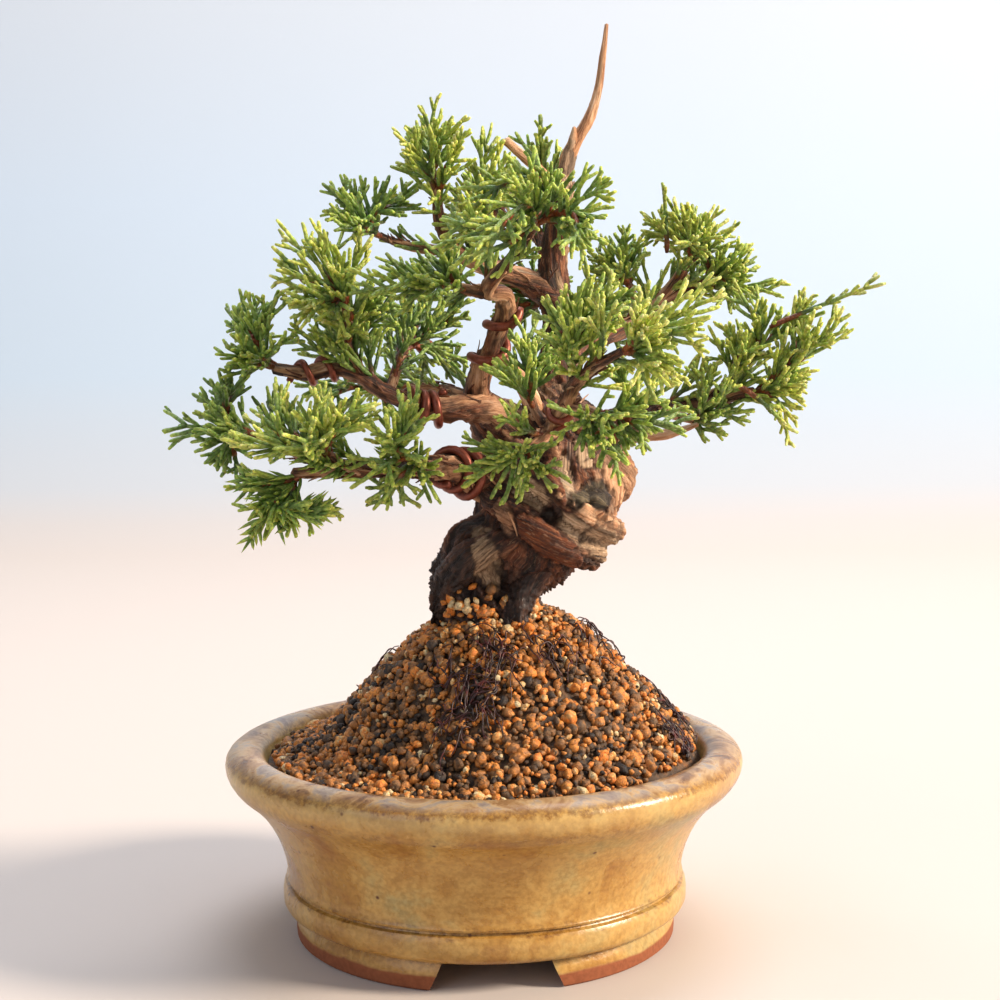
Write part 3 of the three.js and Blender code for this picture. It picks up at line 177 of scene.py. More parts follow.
# Foliage: the twig that carries each spray, how young it is, and the tips of its branchlets.
SPRAYS = {
    "far_left": ("left_low_up", 0.1, [(-67, -26, 120), (-63, -20, 125), (-56, -30, 131), (-53, -18, 132),
        (-60, -36, 117), (-58, -30, 112), (-53, -34, 108)]),
    "low_front": ("left_low_front", 0.62, [(-43, -44, 130), (-36, -54, 128), (-32, -46, 127), (-47, -48, 122),
        (-49, -52, 117), (-35, -62, 119), (-24, -56, 126)]),
    "low_droop": ("left_low", 0.5, [(-50, -42, 94), (-39, -54, 100), (-32, -50, 99), (-55, -37, 105),
        (-43, -48, 97)]),
    "low_right": ("left_low_right", 0.42, [(-22, -36, 102), (-17, -32, 102), (-14, -46, 128), (-17, -52, 125),
        (-26, -56, 110), (-9, -50, 109), (-19, -60, 120)]),
    "mid_top": ("left_middle_up", 0.75, [(-43, -16, 161), (-36, -26, 161), (-34, -12, 162), (-25, -20, 161),
        (-45, -24, 155), (-46, -12, 152), (-29, -34, 154), (-38, -36, 146)]),
    "mid_left": ("left_middle", 0.3, [(-55, -22, 144), (-54, -12, 149), (-48, -22, 151), (-54, -32, 138),
        (-54, -24, 132), (-49, -8, 140), (-40, -36, 140)]),
    "mid_right": ("left_middle_side", 0.25, [(-20, -14, 146), (-24, -8, 149), (-32, 1, 144), (-38, -6, 139)]),
    "twig_back": ("left_middle_back", 0.15, [(-3, 8, 145), (-8, 2, 148), (-3, 14, 130), (-12, 10, 128),
        (-20, 14, 142), (-15, 20, 147)]),
    "front_low_left": ("left_arm_side", 0.3, [(-24, -30, 154), (-25, -38, 148), (-17, -42, 152), (-12, -28, 156),
        (-19, -24, 146), (-10, -42, 146)]),
    "front_top": ("left_arm", 0.35, [(-10, -46, 161), (-3, -40, 168), (-10, -54, 156), (4, -44, 174), (-2, -56, 154),
        (2, -64, 160), (8, -58, 168), (16, -50, 172), (26, -56, 168), (23, -62, 162), (24, -50, 157), (18, -66, 154),
        (11, -46, 175)]),
    "crown": ("crown", 0.7, [(-11, -4, 189), (-8, -8, 188), (-14, 2, 187), (-17, -8, 181), (-18, 2, 178),
        (-4, -5, 185), (-5, -16, 178), (-9, 9, 184)]),
    "crown_left": ("crown_left", 0.25, [(-33, -8, 172), (-34, -2, 169), (-33, -10, 165), (-29, 2, 173),
        (-22, -6, 174), (-19, 6, 172), (-24, -20, 165)]),
    "crown_mid": ("crown_right", 0.65, [(0, -10, 169), (4, 3, 176), (2, 2, 183), (4, -6, 178), (-3, -16, 162),
        (-5, 14, 171)]),
    "top_small": ("apex_twig", 0.4, [(13, 6, 186), (15, 10, 184), (12, 20, 181), (21, 20, 180)]),
    "up_right_a": ("right_back_left", 0.35, [(33, 28, 165), (26, 24, 158), (36, 38, 164), (31, 18, 155),
        (30, 26, 147), (40, 44, 158)]),
    "up_right_b": ("right_back", 0.75, [(41, 28, 166), (46, 34, 169), (47, 20, 168), (51, 28, 171), (55, 36, 169),
        (59, 24, 167), (63, 32, 164), (49, 10, 160), (56, 44, 164)]),
    "up_right_c": ("right_back_side", 0.45, [(65, 30, 160), (66, 22, 158), (68, 34, 156), (68, 26, 152),
        (61, 18, 146), (73, 30, 149), (61, 44, 151)]),
    "right_top": ("right_up", 0.6, [(67, 6, 149), (64, 0, 146), (74, 8, 146), (65, 14, 141), (76, 3, 145),
        (58, 4, 141), (60, -12, 137)]),
    "right_tip": ("right", 0.75, [(89, -4, 148), (83, -8, 143), (82, 2, 150), (78, -2, 136), (79, 6, 133),
        (74, -2, 117), (79, 4, 128), (72, -10, 128), (69, 9, 121)]),
    "right_under": ("right_under", 0.3, [(56, 2, 116), (52, -4, 114), (62, -4, 121), (52, -6, 134), (57, -12, 129),
        (49, -12, 124)]),
    "front_up": ("front_up", 0.4, [(11, -46, 145), (16, -52, 149), (22, -46, 148), (28, -54, 147), (24, -42, 144),
        (13, -58, 140), (20, -64, 142)]),
    "front_right": ("front", 0.85, [(44, -64, 146), (43, -60, 140), (30, -70, 145), (38, -72, 134), (39, -60, 130),
        (32, -79, 141), (31, -76, 131)]),
    "front_low": ("front_low", 0.35, [(28, -42, 110), (34, -38, 115), (41, -42, 120), (32, -52, 126), (24, -56, 118),
        (38, -46, 127), (15, -52, 119)]),
    "front_hang": ("front_hang", 0.45, [(-3, -34, 115), (-5, -36, 108), (0, -33, 103), (9, -40, 107), (4, -46, 113),
        (14, -40, 107)]),
    "front_left": ("front_left", 0.4, [(1, -32, 130), (7, -24, 140), (10, -20, 143), (12, -34, 139), (6, -40, 131)]),
    "back_inner": ("inner", 0.1, [(8, 18, 143), (10, 24, 150), (4, 18, 139), (16, 30, 149), (6, 26, 142)]),
    "back_right": ("back_middle", 0.4, [(28, 50, 142), (42, 58, 148), (50, 54, 140), (52, 44, 148), (44, 58, 135),
        (38, 46, 130), (23, 58, 146)]),
    "back_top": ("back_top", 0.5, [(8, 34, 181), (-3, 42, 177), (10, 46, 173), (-9, 34, 170), (15, 40, 177),
        (2, 50, 167)]),
    "back_left": ("back_low", 0.35, [(-46, 38, 126), (-39, 46, 119), (-27, 52, 122), (-43, 30, 121), (-34, 50, 132),
        (-22, 42, 134), (-20, 50, 114)]),
}
# Sprays that carry pointed juvenile leaves too.
JUVENILE = {"low_droop"}
# How full a spray is, where it isn't 1, and how near its branchlets come to its outline.
FULLNESS = {"top_small": 0.15, "right_under": 0.4, "low_right": 0.7, "up_right_a": 0.7, "front_left": 0.3,
            "front_hang": 0.45}
DRAWN_IN = {"top_small": 0.65, "right_tip": 0.8, "right_under": 0.75, "mid_left": 0.85, "front_hang": 0.85,
            "front_left": 0.85, "low_droop": 0.9}
# Single shoots that run on past the others: spray, root, way, tip.
STRAYS = [
    ("right_tip", (66, 0, 140), (1, 0, 0.5), (88, -4, 149)),
    ("right_tip", (58, -4, 127), (1, 0, -0.1), (69, -7, 117)),
    ("up_right_b", (45, 24, 158), (0, 0, 1), (44, 22, 173)),
    ("mid_top", (-38, -20, 150), (-0.5, 0, 1), (-45, -22, 158)),
]

# ------------------------------------------------------------------ general helpers


def to_row(points):
    """Millimetres about the pot's axis, as metres in the row's frame."""
    return np.asarray(points, float) * MM + POT_AXIS


def linear(colour):
    """An sRGB hex colour as linear red, green, blue and alpha."""
    parts = [int(colour[i:i + 2], 16) / 255 for i in (0, 2, 4)]
    return tuple(c / 12.92 if c <= 0.04045 else ((c + 0.055) / 1.055) ** 2.4 for c in parts) + (1.0,)


def clear_selection():
    """Leaves nothing selected, so that the next operator acts on its own object alone."""
    bpy.ops.object.select_all(action="DESELECT")


def only(obj):
    """Makes one object the selected and active one."""
    clear_selection()
    obj.select_set(True)
    bpy.context.view_layer.objects.active = obj


def apply_modifier(obj, kind, **settings):
    """Adds a modifier with its settings and applies it."""
    only(obj)
    modifier = obj.modifiers.new(kind.title(), kind)
    for name, value in settings.items():
        setattr(modifier, name, value)
    bpy.ops.object.modifier_apply(modifier=modifier.name)


def place_at_axis(obj):
    """Moves a piece that was modelled round the world's origin in metres to the pot's axis."""
    obj.data.transform(Matrix.Translation(Vector(POT_AXIS)))


def finish_piece(obj, name, material, replaced=()):
    """Names a piece, gives it its material and ties it to the frame."""
    obj.name = name
    obj.data.name = name
    obj.data.materials.clear()
    obj.data.materials.append(material)
    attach(obj, "root")
    if replaced:
        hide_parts(*replaced)
    clear_selection()


def add_object(name, data):
    """Adds an object to the scene."""
    obj = bpy.data.objects.new(name, data)
    bpy.context.collection.objects.link(obj)
    return obj


def start_disc(sides, radius, filled=True):
    """A disc, or a ring of points, left selected in edit mode."""
    bpy.ops.mesh.primitive_circle_add(vertices=sides, radius=radius, fill_type="NGON" if filled else "NOTHING",
                                      location=(0, 0, 0))
    bpy.ops.object.mode_set(mode="EDIT")
    bpy.ops.mesh.select_all(action="SELECT")
    return bpy.context.object


def pull_up(rise, grow, level=0.0, twist=0.0):
    """Extrudes what is selected upwards, then widens and twists its new end."""
    bpy.ops.mesh.extrude_region_move(TRANSFORM_OT_translate={"value": (0, 0, rise)})
    bpy.ops.transform.resize(value=(grow, grow, 1), center_override=(0, 0, level))
    if twist:
        bpy.ops.transform.rotate(value=twist, orient_axis="Z", center_override=(0, 0, level))


def turned_profile(profile, sides, filled):
    """A profile of radius and height in millimetres, turned about the upright axis and left in edit mode."""
    radius, height = profile[0]
    obj = start_disc(sides, radius * MM, filled)
    bpy.ops.transform.translate(value=(0, 0, height * MM))
    for next_radius, next_height in profile[1:]:
        pull_up((next_height - height) * MM, next_radius / radius, next_height * MM)
        radius, height = next_radius, next_height
    return obj


def vertex_places(mesh):
    """The mesh's vertices as rows of x, y and z."""
    places = np.empty(len(mesh.vertices) * 3)
    mesh.vertices.foreach_get("co", places)
    return places.reshape(-1, 3)


def set_attribute(mesh, name, values, kind="FLOAT"):
    """Stores one value for each vertex, for the materials to read."""
    attribute = mesh.attributes.new(name, kind, "POINT")
    attribute.data.foreach_set("value" if kind == "FLOAT" else "vector", np.ravel(values).astype(np.float32))


class Pattern:
    """A small shape that is modelled once, and from which copies are placed."""

    def __init__(self, obj):
        mesh = obj.data
        self.points = vertex_places(mesh)
        self.corners = np.empty(len(mesh.loops), np.int32)
        mesh.loops.foreach_get("vertex_index", self.corners)
        self.starts = np.empty(len(mesh.polygons), np.int32)
        mesh.polygons.foreach_get("loop_start", self.starts)
        bpy.data.objects.remove(obj)


def mesh_of_copies(name, batches):
    """One mesh from batches of placed copies: a pattern, points by copy and vertex, and attributes."""
    points, corners, starts = [], [], []
    values = {}
    vertex_count = corner_count = 0
    for pattern, placed, attributes in batches:
        copies, each = placed.shape[:2]
        first_vertex = vertex_count + each * np.arange(copies)[:, None]
        first_corner = corner_count + len(pattern.corners) * np.arange(copies)[:, None]
        points.append(placed.reshape(-1, 3))
        corners.append((pattern.corners[None, :] + first_vertex).ravel())
        starts.append((pattern.starts[None, :] + first_corner).ravel())
        for key, value in attributes.items():
            values.setdefault(key, []).append(np.broadcast_to(value, (copies, each)).ravel())
        vertex_count += copies * each
        corner_count += copies * len(pattern.corners)
    mesh = bpy.data.meshes.new(name)
    mesh.vertices.add(vertex_count)
    mesh.vertices.foreach_set("co", to_row(np.concatenate(points)).ravel())
    mesh.loops.add(corner_count)
    mesh.loops.foreach_set("vertex_index", np.concatenate(corners))
    starts = np.concatenate(starts)
    mesh.polygons.add(len(starts))
    mesh.polygons.foreach_set("loop_start", starts)
    mesh.update(calc_edges=True)
    mesh.polygons.foreach_set("use_smooth", np.ones(len(starts), bool))
    for key, value in values.items():
        set_attribute(mesh, key, np.concatenate(value))
    return add_object(name, mesh)


def unit(vectors):
    """Vectors of length one, the same way."""
    return vectors / np.maximum(np.linalg.norm(vectors, axis=-1, keepdims=True), 1e-9)


def follow(stations, steps):
    """A smooth line through stations of x, y, z and radius, as rows of the same four numbers."""
    places = [np.array(s[:3], float) for s in stations]
    rows = []
    for k in range(len(places) - 1):
        p1, p2 = places[k], places[k + 1]
        p0 = places[k - 1] if k else 2 * p1 - p2
        p3 = places[k + 2] if k + 2 < len(places) else 2 * p2 - p1
        d0, d1, d2 = (max(np.linalg.norm(b - a) ** 0.5, 1e-4) for a, b in ((p0, p1), (p1, p2), (p2, p3)))
        m1 = ((p1 - p0) / d0 - (p2 - p0) / (d0 + d1) + (p2 - p1) / d1) * d1
        m2 = ((p2 - p1) / d1 - (p3 - p1) / (d1 + d2) + (p3 - p2) / d2) * d1
        for i in range(steps + (k == len(places) - 2)):
            t = i / steps
            place = ((2 * t**3 - 3 * t**2 + 1) * p1 + (t**3 - 2 * t**2 + t) * m1
                     + (3 * t**2 - 2 * t**3) * p2 + (t**3 - t**2) * m2)
            rows.append([*place, stations[k][3] * (1 - t) + stations[k + 1][3] * t])
    return np.array(rows)


def frames_along(places):
    """For each point of a line: the way along it and two directions across it that don't turn."""
    along = unit(np.gradient(places, axis=0))
    sides = []
    side = np.array([0.0, 0.0, 1.0]) if abs(along[0][2]) < 0.9 else np.array([1.0, 0.0, 0.0])
    for way in along:
        side = side - way * side.dot(way)
        side /= np.linalg.norm(side)
        sides.append(side)
    sides = np.array(sides)
    return along, sides, np.cross(along, sides)


def length_along(places):
    """How far along its line each point lies."""
    return np.concatenate([[0], np.cumsum(np.linalg.norm(np.diff(places, axis=0), axis=1))])


def spoke(side, across, turn):
    """A direction out from a line, turned from one of its two side directions towards the other."""
    return side * math.cos(turn) + across * math.sin(turn)


def swept(rows, sides):
    """Rings of points round a line, with the frames they stand in and their distance along it."""
    _, side, across = frames_along(rows[:, :3])
    turns = 2 * np.pi * np.arange(sides) / sides
    outward = (side[:, None, :] * np.cos(turns)[None, :, None]
               + across[:, None, :] * np.sin(turns)[None, :, None])
    return rows[:, None, :3] + outward * rows[:, 3][:, None, None], outward, length_along(rows[:, :3]), turns


class Skin:
    """Tubes gathered into one mesh, each closed by a point at either end."""

    def __init__(self):
        self.points, self.faces, self.values = [], [], {}
        self.count = 0

    def add(self, rings, ends, **values):
        """Adds a tube from its rings and end points, with a value or one for each ring point by name."""
        rows, sides = rings.shape[:2]
        self.points.append(np.concatenate([rings.reshape(-1, 3), ends]))
        index = self.count + np.arange(rows * sides).reshape(rows, sides)
        turned = np.roll(index, -1, axis=1)
        quads = np.stack([index[:-1], turned[:-1], turned[1:], index[1:]], axis=-1).reshape(-1, 4)
        self.faces.extend(quads.tolist())
        first, last = self.count + rows * sides, self.count + rows * sides + 1
        for j in range(sides):
            self.faces.append([first, int(turned[0][j]), int(index[0][j])])
            self.faces.append([last, int(index[-1][j]), int(turned[-1][j])])
        for key, value in values.items():
            value = np.broadcast_to(value, (rows, sides) + np.shape(value)[2:]).reshape(rows * sides, -1)
            value = np.concatenate([value, value[:1], value[-1:]])
            self.values.setdefault(key, []).append(value)
        self.count += rows * sides + 2

    def piece(self, name):
        """Makes the tubes one object."""
        mesh = bpy.data.meshes.new(name)
        mesh.from_pydata(to_row(np.concatenate(self.points)).tolist(), [], self.faces)
        mesh.polygons.foreach_set("use_smooth", np.ones(len(mesh.polygons), bool))
        for key, value in self.values.items():
            value = np.concatenate(value)
            set_attribute(mesh, key, value, "FLOAT" if value.shape[1] == 1 else "FLOAT_VECTOR")
        return add_object(name, mesh)


def add_tube(skin, rows, sides):
    """A plain tube along rows of x, y, z and radius."""
    rings, _, _, _ = swept(rows, sides)
    way = unit(rows[1, :3] - rows[0, :3]), unit(rows[-1, :3] - rows[-2, :3])
    ends = np.array([rows[0, :3] - way[0] * rows[0, 3] * 0.5, rows[-1, :3] + way[1] * rows[-1, 3] * 0.5])
    skin.add(rings, ends)


def smoothstep(low, high, value):
    """Runs from 0 to 1 as the value runs from low to high, with a soft start and end."""
    t = np.clip((value - low) / (high - low), 0, 1)
    return t * t * (3 - 2 * t)


def noise_at(points, scale, seed=0.0, octaves=3):
    """Smooth noise from -1 to 1 at points in millimetres; scale is the size of its lumps."""
    return np.array([noise.fractal(Vector(p), 0.7, 2.0, octaves) for p in (points / scale + seed).tolist()])


# ------------------------------------------------------------------ materials

# Settings of a Mix node that lays one colour over another, or darkens one by another. Of its inputs,
# 0 is then the share, 6 the colour below and 7 the colour above.
OVER = {"output": 2, "data_type": "RGBA", "blend_type": "MIX"}
DARKEN = {"output": 2, "data_type": "RGBA", "blend_type": "MULTIPLY"}


def new_material(name):
    """A material with the standard shader, and the function that adds its nodes."""
    material = bpy.data.materials.new(name)
    material.use_nodes = True
    return material, partial(add_node, material.node_tree)


def set_inputs(node, inputs):
    """Gives a node's inputs, by name or in order, their values, hex colours or links."""
    for socket, value in inputs.items() if isinstance(inputs, dict) else enumerate(inputs):
        if isinstance(value, bpy.types.NodeSocket):
            node.id_data.links.new(value, node.inputs[socket])
        else:
            node.inputs[socket].default_value = linear(value) if isinstance(value, str) else value


def add_node(tree, kind, inputs=(), output=0, ramp=(), **settings):
    """Adds a shader node with its settings and links, and gives one of its outputs. A ramp is positions
    and colours."""
    made = tree.nodes.new("ShaderNode" + kind)
    for name, value in settings.items():
        setattr(made, name, value)
    set_inputs(made, inputs)
    if ramp:
        stops = made.color_ramp.elements
        while len(stops) < len(ramp):
            stops.new(0.5)
        for stop, (position, colour) in zip(stops, ramp):
            stop.position = position
            stop.color = linear(colour) if isinstance(colour, str) else colour
    return made.outputs[output]


def finish_material(material, inputs):
    """Gives the material's shader its colours, patterns and gloss."""
    set_inputs(material.node_tree.nodes["Principled BSDF"], inputs)
    return material


def glazed_stoneware(settings):
    """Ash glaze over iron-rich stoneware: a thin, glossy, mottled skin that breaks brown on every edge
    and stops short of the feet, where the bare reddish clay is matt."""
    material, add = new_material("ash_glazed_stoneware")
    place = add("TexCoord", output="Object")
    height = add("SeparateXYZ", [place], "Z")
    clouds, grain, ragged, broken, pools, wavy = (
        add("TexNoise", {"Vector": place, "Scale": scale, "Detail": detail, "Roughness": rough, "Distortion": twist})
        for scale, detail, rough, twist in (
            (60.0, 5.0, 0.62, 0.3),  # soft clouds, 17 mm across
            (900.0, 3.0, 0.5, 0.0),  # grain of the clay, 1 mm
            (260.0, 6.0, 0.7, 0.0),  # the ragged edge of the iron, 4 mm
            (560.0, 5.0, 0.8, 0.0),  # the gaps in it, 2 mm
            (95.0, 5.0, 0.65, 1.0),  # pools on the rim, 10 mm
            (70.0, 3.0, 0.5, 0.0)))  # the glaze's wavy lower edge, 14 mm
    # The clouds run from brown ochre through pale ochre to grey-green.
    body = add("ValToRGB", [clouds], ramp=[
        (0.3, "A06C2C"), (0.44, "B48640"), (0.54, "C49A54"), (0.64, "B89C60"), (0.74, "9E9264")])
    speckle = add("ValToRGB", [grain], ramp=[(0.35, "C8BCA0"), (0.62, "FFFFFF")])
    # Iron breaks through as ragged bands at the rim's two edges, the belt and above the feet.
    # The level is the height with ragged waves 5 mm high, from 0 at the feet to 1 at the top of the rim.
    level = add("Math", [ragged, 0.0052, height], operation="MULTIPLY_ADD")
    level = add("Math", [level, 0.0473], operation="DIVIDE")
    bands = add("ValToRGB", [level], ramp=[
        (0.0, "000000"), (0.165, "000000"), (0.188, "D0D0D0"), (0.21, "282828"), (0.32, "101010"),
        (0.336, "E0E0E0"), (0.346, "484848"), (0.357, "C0C0C0"), (0.372, "101010"), (0.5, "000000"),
        (0.74, "080808"), (0.80, "707070"), (0.835, "A0A0A0"), (0.86, "202020"), (0.935, "101010"),
        (0.955, "D0D0D0"), (0.985, "D8D8D8")])
    gaps = add("ValToRGB", [broken], ramp=[(0.43, "101010"), (0.56, "FFFFFF")])
    iron = add("Mix", {0: 1.0, 6: bands, 7: gaps}, **DARKEN)
    # Between them the glaze is thick and creamy on the rim's outer roll and the crest of the belt.
    cream = add("ValToRGB", [level], ramp=[
        (0.23, "000000"), (0.27, "505050"), (0.31, "404040"), (0.33, "000000"), (0.86, "000000"),
        (0.905, "808080"), (0.94, "808080"), (0.955, "000000")])
    # The top of the rim is cooler: grey-lilac pools and pale film.
    on_top = add("MapRange", [height, 0.0428, 0.0442])
    pools = add("ValToRGB", [pools], ramp=[
        (0.36, "6A4A30"), (0.44, "96714A"), (0.52, "B8986E"), (0.58, "9C8C7C"), (0.68, "7C6C68")])
    # A few iron specks, each under a millimetre.
    specks = add("TexVoronoi", {"Vector": place, "Scale": 150.0}, "Distance")
    specks = add("ValToRGB", [specks], ramp=[(0.035, "FFFFFF"), (0.09, "000000")])
    # Bare clay: the lowest 3 mm of the feet.
    foot = add("Math", [wavy, 0.0022, height], operation="MULTIPLY_ADD")
    bare = add("MapRange", [foot, 0.0046, 0.0040])
    clay = add("Mix", {0: 0.5, 6: settings.clay_colour, 7: speckle}, **DARKEN)
    for share, coat, blend in ((0.55, speckle, DARKEN), (cream, "DCC68E", OVER), (iron, settings.iron_colour, OVER),
                               (on_top, pools, OVER), (specks, "5B3420", OVER), (bare, clay, OVER)):
        body = add("Mix", {0: share, 6: body, 7: coat}, **blend)
    gloss = add("MapRange", [clouds, 0.3, 0.7, 0.22, 0.36])
    return finish_material(material, {
        "Base Color": body, "IOR": 1.5,
        "Roughness": add("Mix", {0: bare, 2: gloss, 3: 0.85}, data_type="FLOAT"),
        "Normal": add("Bump", {"Height": add("Math", [ragged, grain], operation="ADD"), "Strength": 0.22,
                               "Distance": 0.0004})})


def damp_granules():
    """Baked clay and pumice granules, damp from watering: matt and dusty where dry, darker in the pores."""
    material, add = new_material("damp_clay_granules")
    place = add("TexCoord", output="Object")
    kind, shade = (add("Attribute", output="Fac", attribute_name=name) for name in ("kind", "shade"))
    # The clay's colour drifts within a granule, over some 2 mm.
    drift = add("TexNoise", {"Vector": place, "Scale": 620.0, "Detail": 2.0})
    drift = add("MapRange", [drift, 0.3, 0.7, -0.14, 0.14])
    colour = add("ValToRGB", [add("Math", [kind, drift], operation="ADD")], ramp=[
        (0.0, "1C100A"), (0.13, "4A3420"), (0.27, "7A5A38"), (0.40, "A87442"), (0.52, "D28A44"),
        (0.64, "EE9A40"), (0.76, "F88C30"), (0.88, "F6BA6C"), (1.0, "F8E2B0")])
    # Pores and dust, 0.5 mm across.
    pores = add("TexNoise", {"Vector": place, "Scale": 1900.0, "Detail": 4.0, "Roughness": 0.65})
    tone = add("ValToRGB", [pores], ramp=[(0.32, "8C7A6C"), (0.6, "FFFFFF")])
    colour = add("Mix", {0: 0.8, 6: colour, 7: tone}, **DARKEN)
    # The shade attribute lays near-black over the colour: on the bed it is painted shade in the gaps between the
    # granules, on each granule a random darkening.
    return finish_material(material, {
        "Base Color": add("Mix", {0: shade, 6: colour, 7: "1A100B"}, **OVER),
        "Roughness": add("MapRange", [pores, 0.3, 0.7, 0.32, 0.75]),
        "Normal": add("Bump", {"Height": pores, "Strength": 0.7, "Distance": 0.0005})})


def juniper_bark(settings):
    """Live juniper bark is red-brown and peels in long fibres that follow the limb. Where it is gone the
    bare wood is silver-tan with fine checks, and at the foot of the trunk it is wet and nearly black."""
    material, add = new_material("juniper_bark_and_dead_wood")
    grain = add("Attribute", output="Vector", attribute_name="grain")
    wet, painted_shade_and_stains = (add("Attribute", output="Fac", attribute_name=name) for name in ("wet", "painted_shade_and_stains"))
    # Fibres 0.7 mm wide, plates of bark 2.4 mm, and torn fibre ends and dust that catch the light.
    fibres, coarse, dust = (
        add("TexNoise", {"Vector": grain, "Scale": scale, "Detail": detail, "Roughness": rough, "Distortion": twist})
        for scale, detail, rough, twist in ((1.5, 7.0, 0.68, 0.5), (0.42, 4.0, 0.6, 0.0), (3.4, 5.0, 0.75, 0.0)))
    both = add("Math", [fibres, coarse], operation="ADD")
    both = add("Math", [both, 0.5], operation="MULTIPLY")
    colour = add("ValToRGB", [both], ramp=[
        (0.38, "160C08"), (0.46, "46261A"), (0.52, "74422A"), (0.59, "9A6240"), (0.68, "BE9470")])
    # Over the bark lie the tones of wet, bare, plated, pale and old wood. The pale tones are the real colour of the
    # dead wood and of pale patches and flakes of bark, and painted light on the knots' sides that face the light and
    # on the lit marks.
    for name, tones in (
            ("wet", [(0.38, "120A07"), (0.47, "33211A"), (0.55, "573B2C"), (0.66, "846450")]),
            ("bare", [(0.38, "34241A"), (0.45, "94785C"), (0.52, "CEB290"), (0.62, "F2DEC2")]),
            ("plate", [(0.38, "2A140A"), (0.47, "56280F"), (0.54, "7E421F"), (0.64, "A0623A")]),
            ("pale_wood_and_painted_light", [(0.38, "8A583A"), (0.46, "CC9468"), (0.54, "F0C298"), (0.64, "FCE6CA")]),
            ("old", [(0.38, "1C1A12"), (0.5, "3E3B2A"), (0.62, "6E6A50")])):
        share = add("Attribute", output="Fac", attribute_name=name)
        colour = add("Mix", {0: share, 6: colour, 7: add("ValToRGB", [both], ramp=tones)}, **OVER)
    dust = add("ValToRGB", [dust], ramp=[(0.54, "000000"), (0.66, "B8B8B8")])
    dust = add("Math", [dust, add("Math", [1.0, wet], operation="SUBTRACT")], operation="MULTIPLY")
    # Near-black over the furrows, dips and sunken rims is painted shade; over the stains it is their real dark.
    deep = add("Math", [painted_shade_and_stains, 0.85], operation="MULTIPLY")
    for share, coat, blend in ((0.35, settings.bark_tint, DARKEN), (dust, "E0B48C", OVER), (deep, "1A0E09", OVER)):
        colour = add("Mix", {0: share, 6: colour, 7: coat}, **blend)
    dry = add("MapRange", [fibres, 0.35, 0.65, 0.55, 0.85])
    return finish_material(material, {
        "Base Color": colour,
        "Roughness": add("Mix", {0: wet, 2: dry, 3: 0.38}, data_type="FLOAT"),
        "Normal": add("Bump", {"Height": both, "Strength": 1.0, "Distance": 0.0015})})


def scale_leaves(settings):
    """Living scale leaves: overlapping waxy scales, deep green on old shoots and yellow-green on young
    tips, over red-brown twigs. The wax gives a soft broad gloss, and light comes through the leaf."""
    material, add = new_material("juniper_scale_leaves")
    age, tone = (add("Attribute", output="Fac", attribute_name=name) for name in ("age", "tone"))
    place = add("TexCoord", output="Object")
    # The green drifts along a shoot over some 6 mm.
    drift = add("TexNoise", {"Vector": place, "Scale": 160.0, "Detail": 2.0})
    drift = add("MapRange", [drift, 0.3, 0.7, -0.1, 0.1])
    green = add("ValToRGB", [add("Math", [age, drift], operation="ADD")], ramp=[
        (0.0, "8C3C1C"), (0.13, "9C562A"), (0.2, "607038"), (0.32, "6C8A46"), (0.48, settings.leaf_colour),
        (0.6, "B8C65A"), (0.74, "D6D664"), (0.88, settings.tip_colour), (1.0, "F8F2B0")])
    dusk = add("ValToRGB", [tone], ramp=[(0.0, "94A488"), (0.5, "FFFFFF"), (1.0, "FFFFE8")])
    # Each scale is about 0.9 mm long.
    scales = add("TexVoronoi", {"Vector": place, "Scale": 1150.0}, "Distance")
    seams = add("ValToRGB", [scales], ramp=[(0.25, "FFFFFF"), (0.75, "A8B48C")])
    for share, coat in ((0.75, dusk), (0.8, seams)):
        green = add("Mix", {0: share, 6: green, 7: coat}, **DARKEN)
    return finish_material(material, {
        "Base Color": green, "Roughness": 0.48, "Subsurface Weight": 0.3, "Subsurface Radius": (0.4, 1.0, 0.2),
        "Subsurface Scale": 0.0012,
        "Normal": add("Bump", {"Height": scales, "Strength": 0.6, "Distance": 0.0005}, invert=True)})


def anodised_wire(settings):
    """Annealed aluminium training wire, anodised copper-brown: satin, a little scuffed and dusty."""
    material, add = new_material("anodised_aluminium_wire")
    # Scuffs 1.4 mm long.
    scuffs = add("TexNoise", {"Vector": add("TexCoord", output="Object"), "Scale": 700.0, "Detail": 5.0,
                              "Roughness": 0.7})
    tone = add("ValToRGB", [scuffs], ramp=[(0.35, "9A8A80"), (0.6, "FFFFFF")])
    return finish_material(material, {
        "Base Color": add("Mix", {0: 0.7, 6: settings.wire_colour, 7: tone}, **DARKEN), "Metallic": 0.55,
        "Roughness": add("MapRange", [scuffs, 0.3, 0.7, 0.3, 0.5]),
        "Normal": add("Bump", {"Height": scuffs, "Strength": 0.15, "Distance": 0.0002})})


def hair_root():
    """Fine roots washed out of the soil: thin, dark red-brown in bands, and a little shiny with water."""
    material, add = new_material("fine_roots")
    # Bands 2 mm long.
    bands = add("TexNoise", {"Vector": add("TexCoord", output="Object"), "Scale": 500.0, "Detail": 3.0})
    colour = add("ValToRGB", [bands], ramp=[(0.35, "170B0B"), (0.55, "3C1818"), (0.72, "6A2A22")])
    return finish_material(material, {"Base Color": colour, "Roughness": 0.42})


def polythene_mesh():
    """Moulded polythene mesh over the drainage hole: black, matt, with a faint moulding grain."""
    material, add = new_material("polythene_mesh")
    # Grain 0.7 mm across.
    grain = add("TexNoise", {"Vector": add("TexCoord", output="Object"), "Scale": 1500.0, "Detail": 3.0})
    return finish_material(material, {
        "Base Color": add("ValToRGB", [grain], ramp=[(0.35, "1C1C1B"), (0.65, "34342F")]), "Roughness": 0.65,
        "Normal": add("Bump", {"Height": grain, "Strength": 0.2, "Distance": 0.0002})})


# ------------------------------------------------------------------ settings


def colour_setting(name, description, colour):
    """A colour that a user can change."""
    return FloatVectorProperty(name=name, description=description, subtype="COLOR", size=4, default=linear(colour))


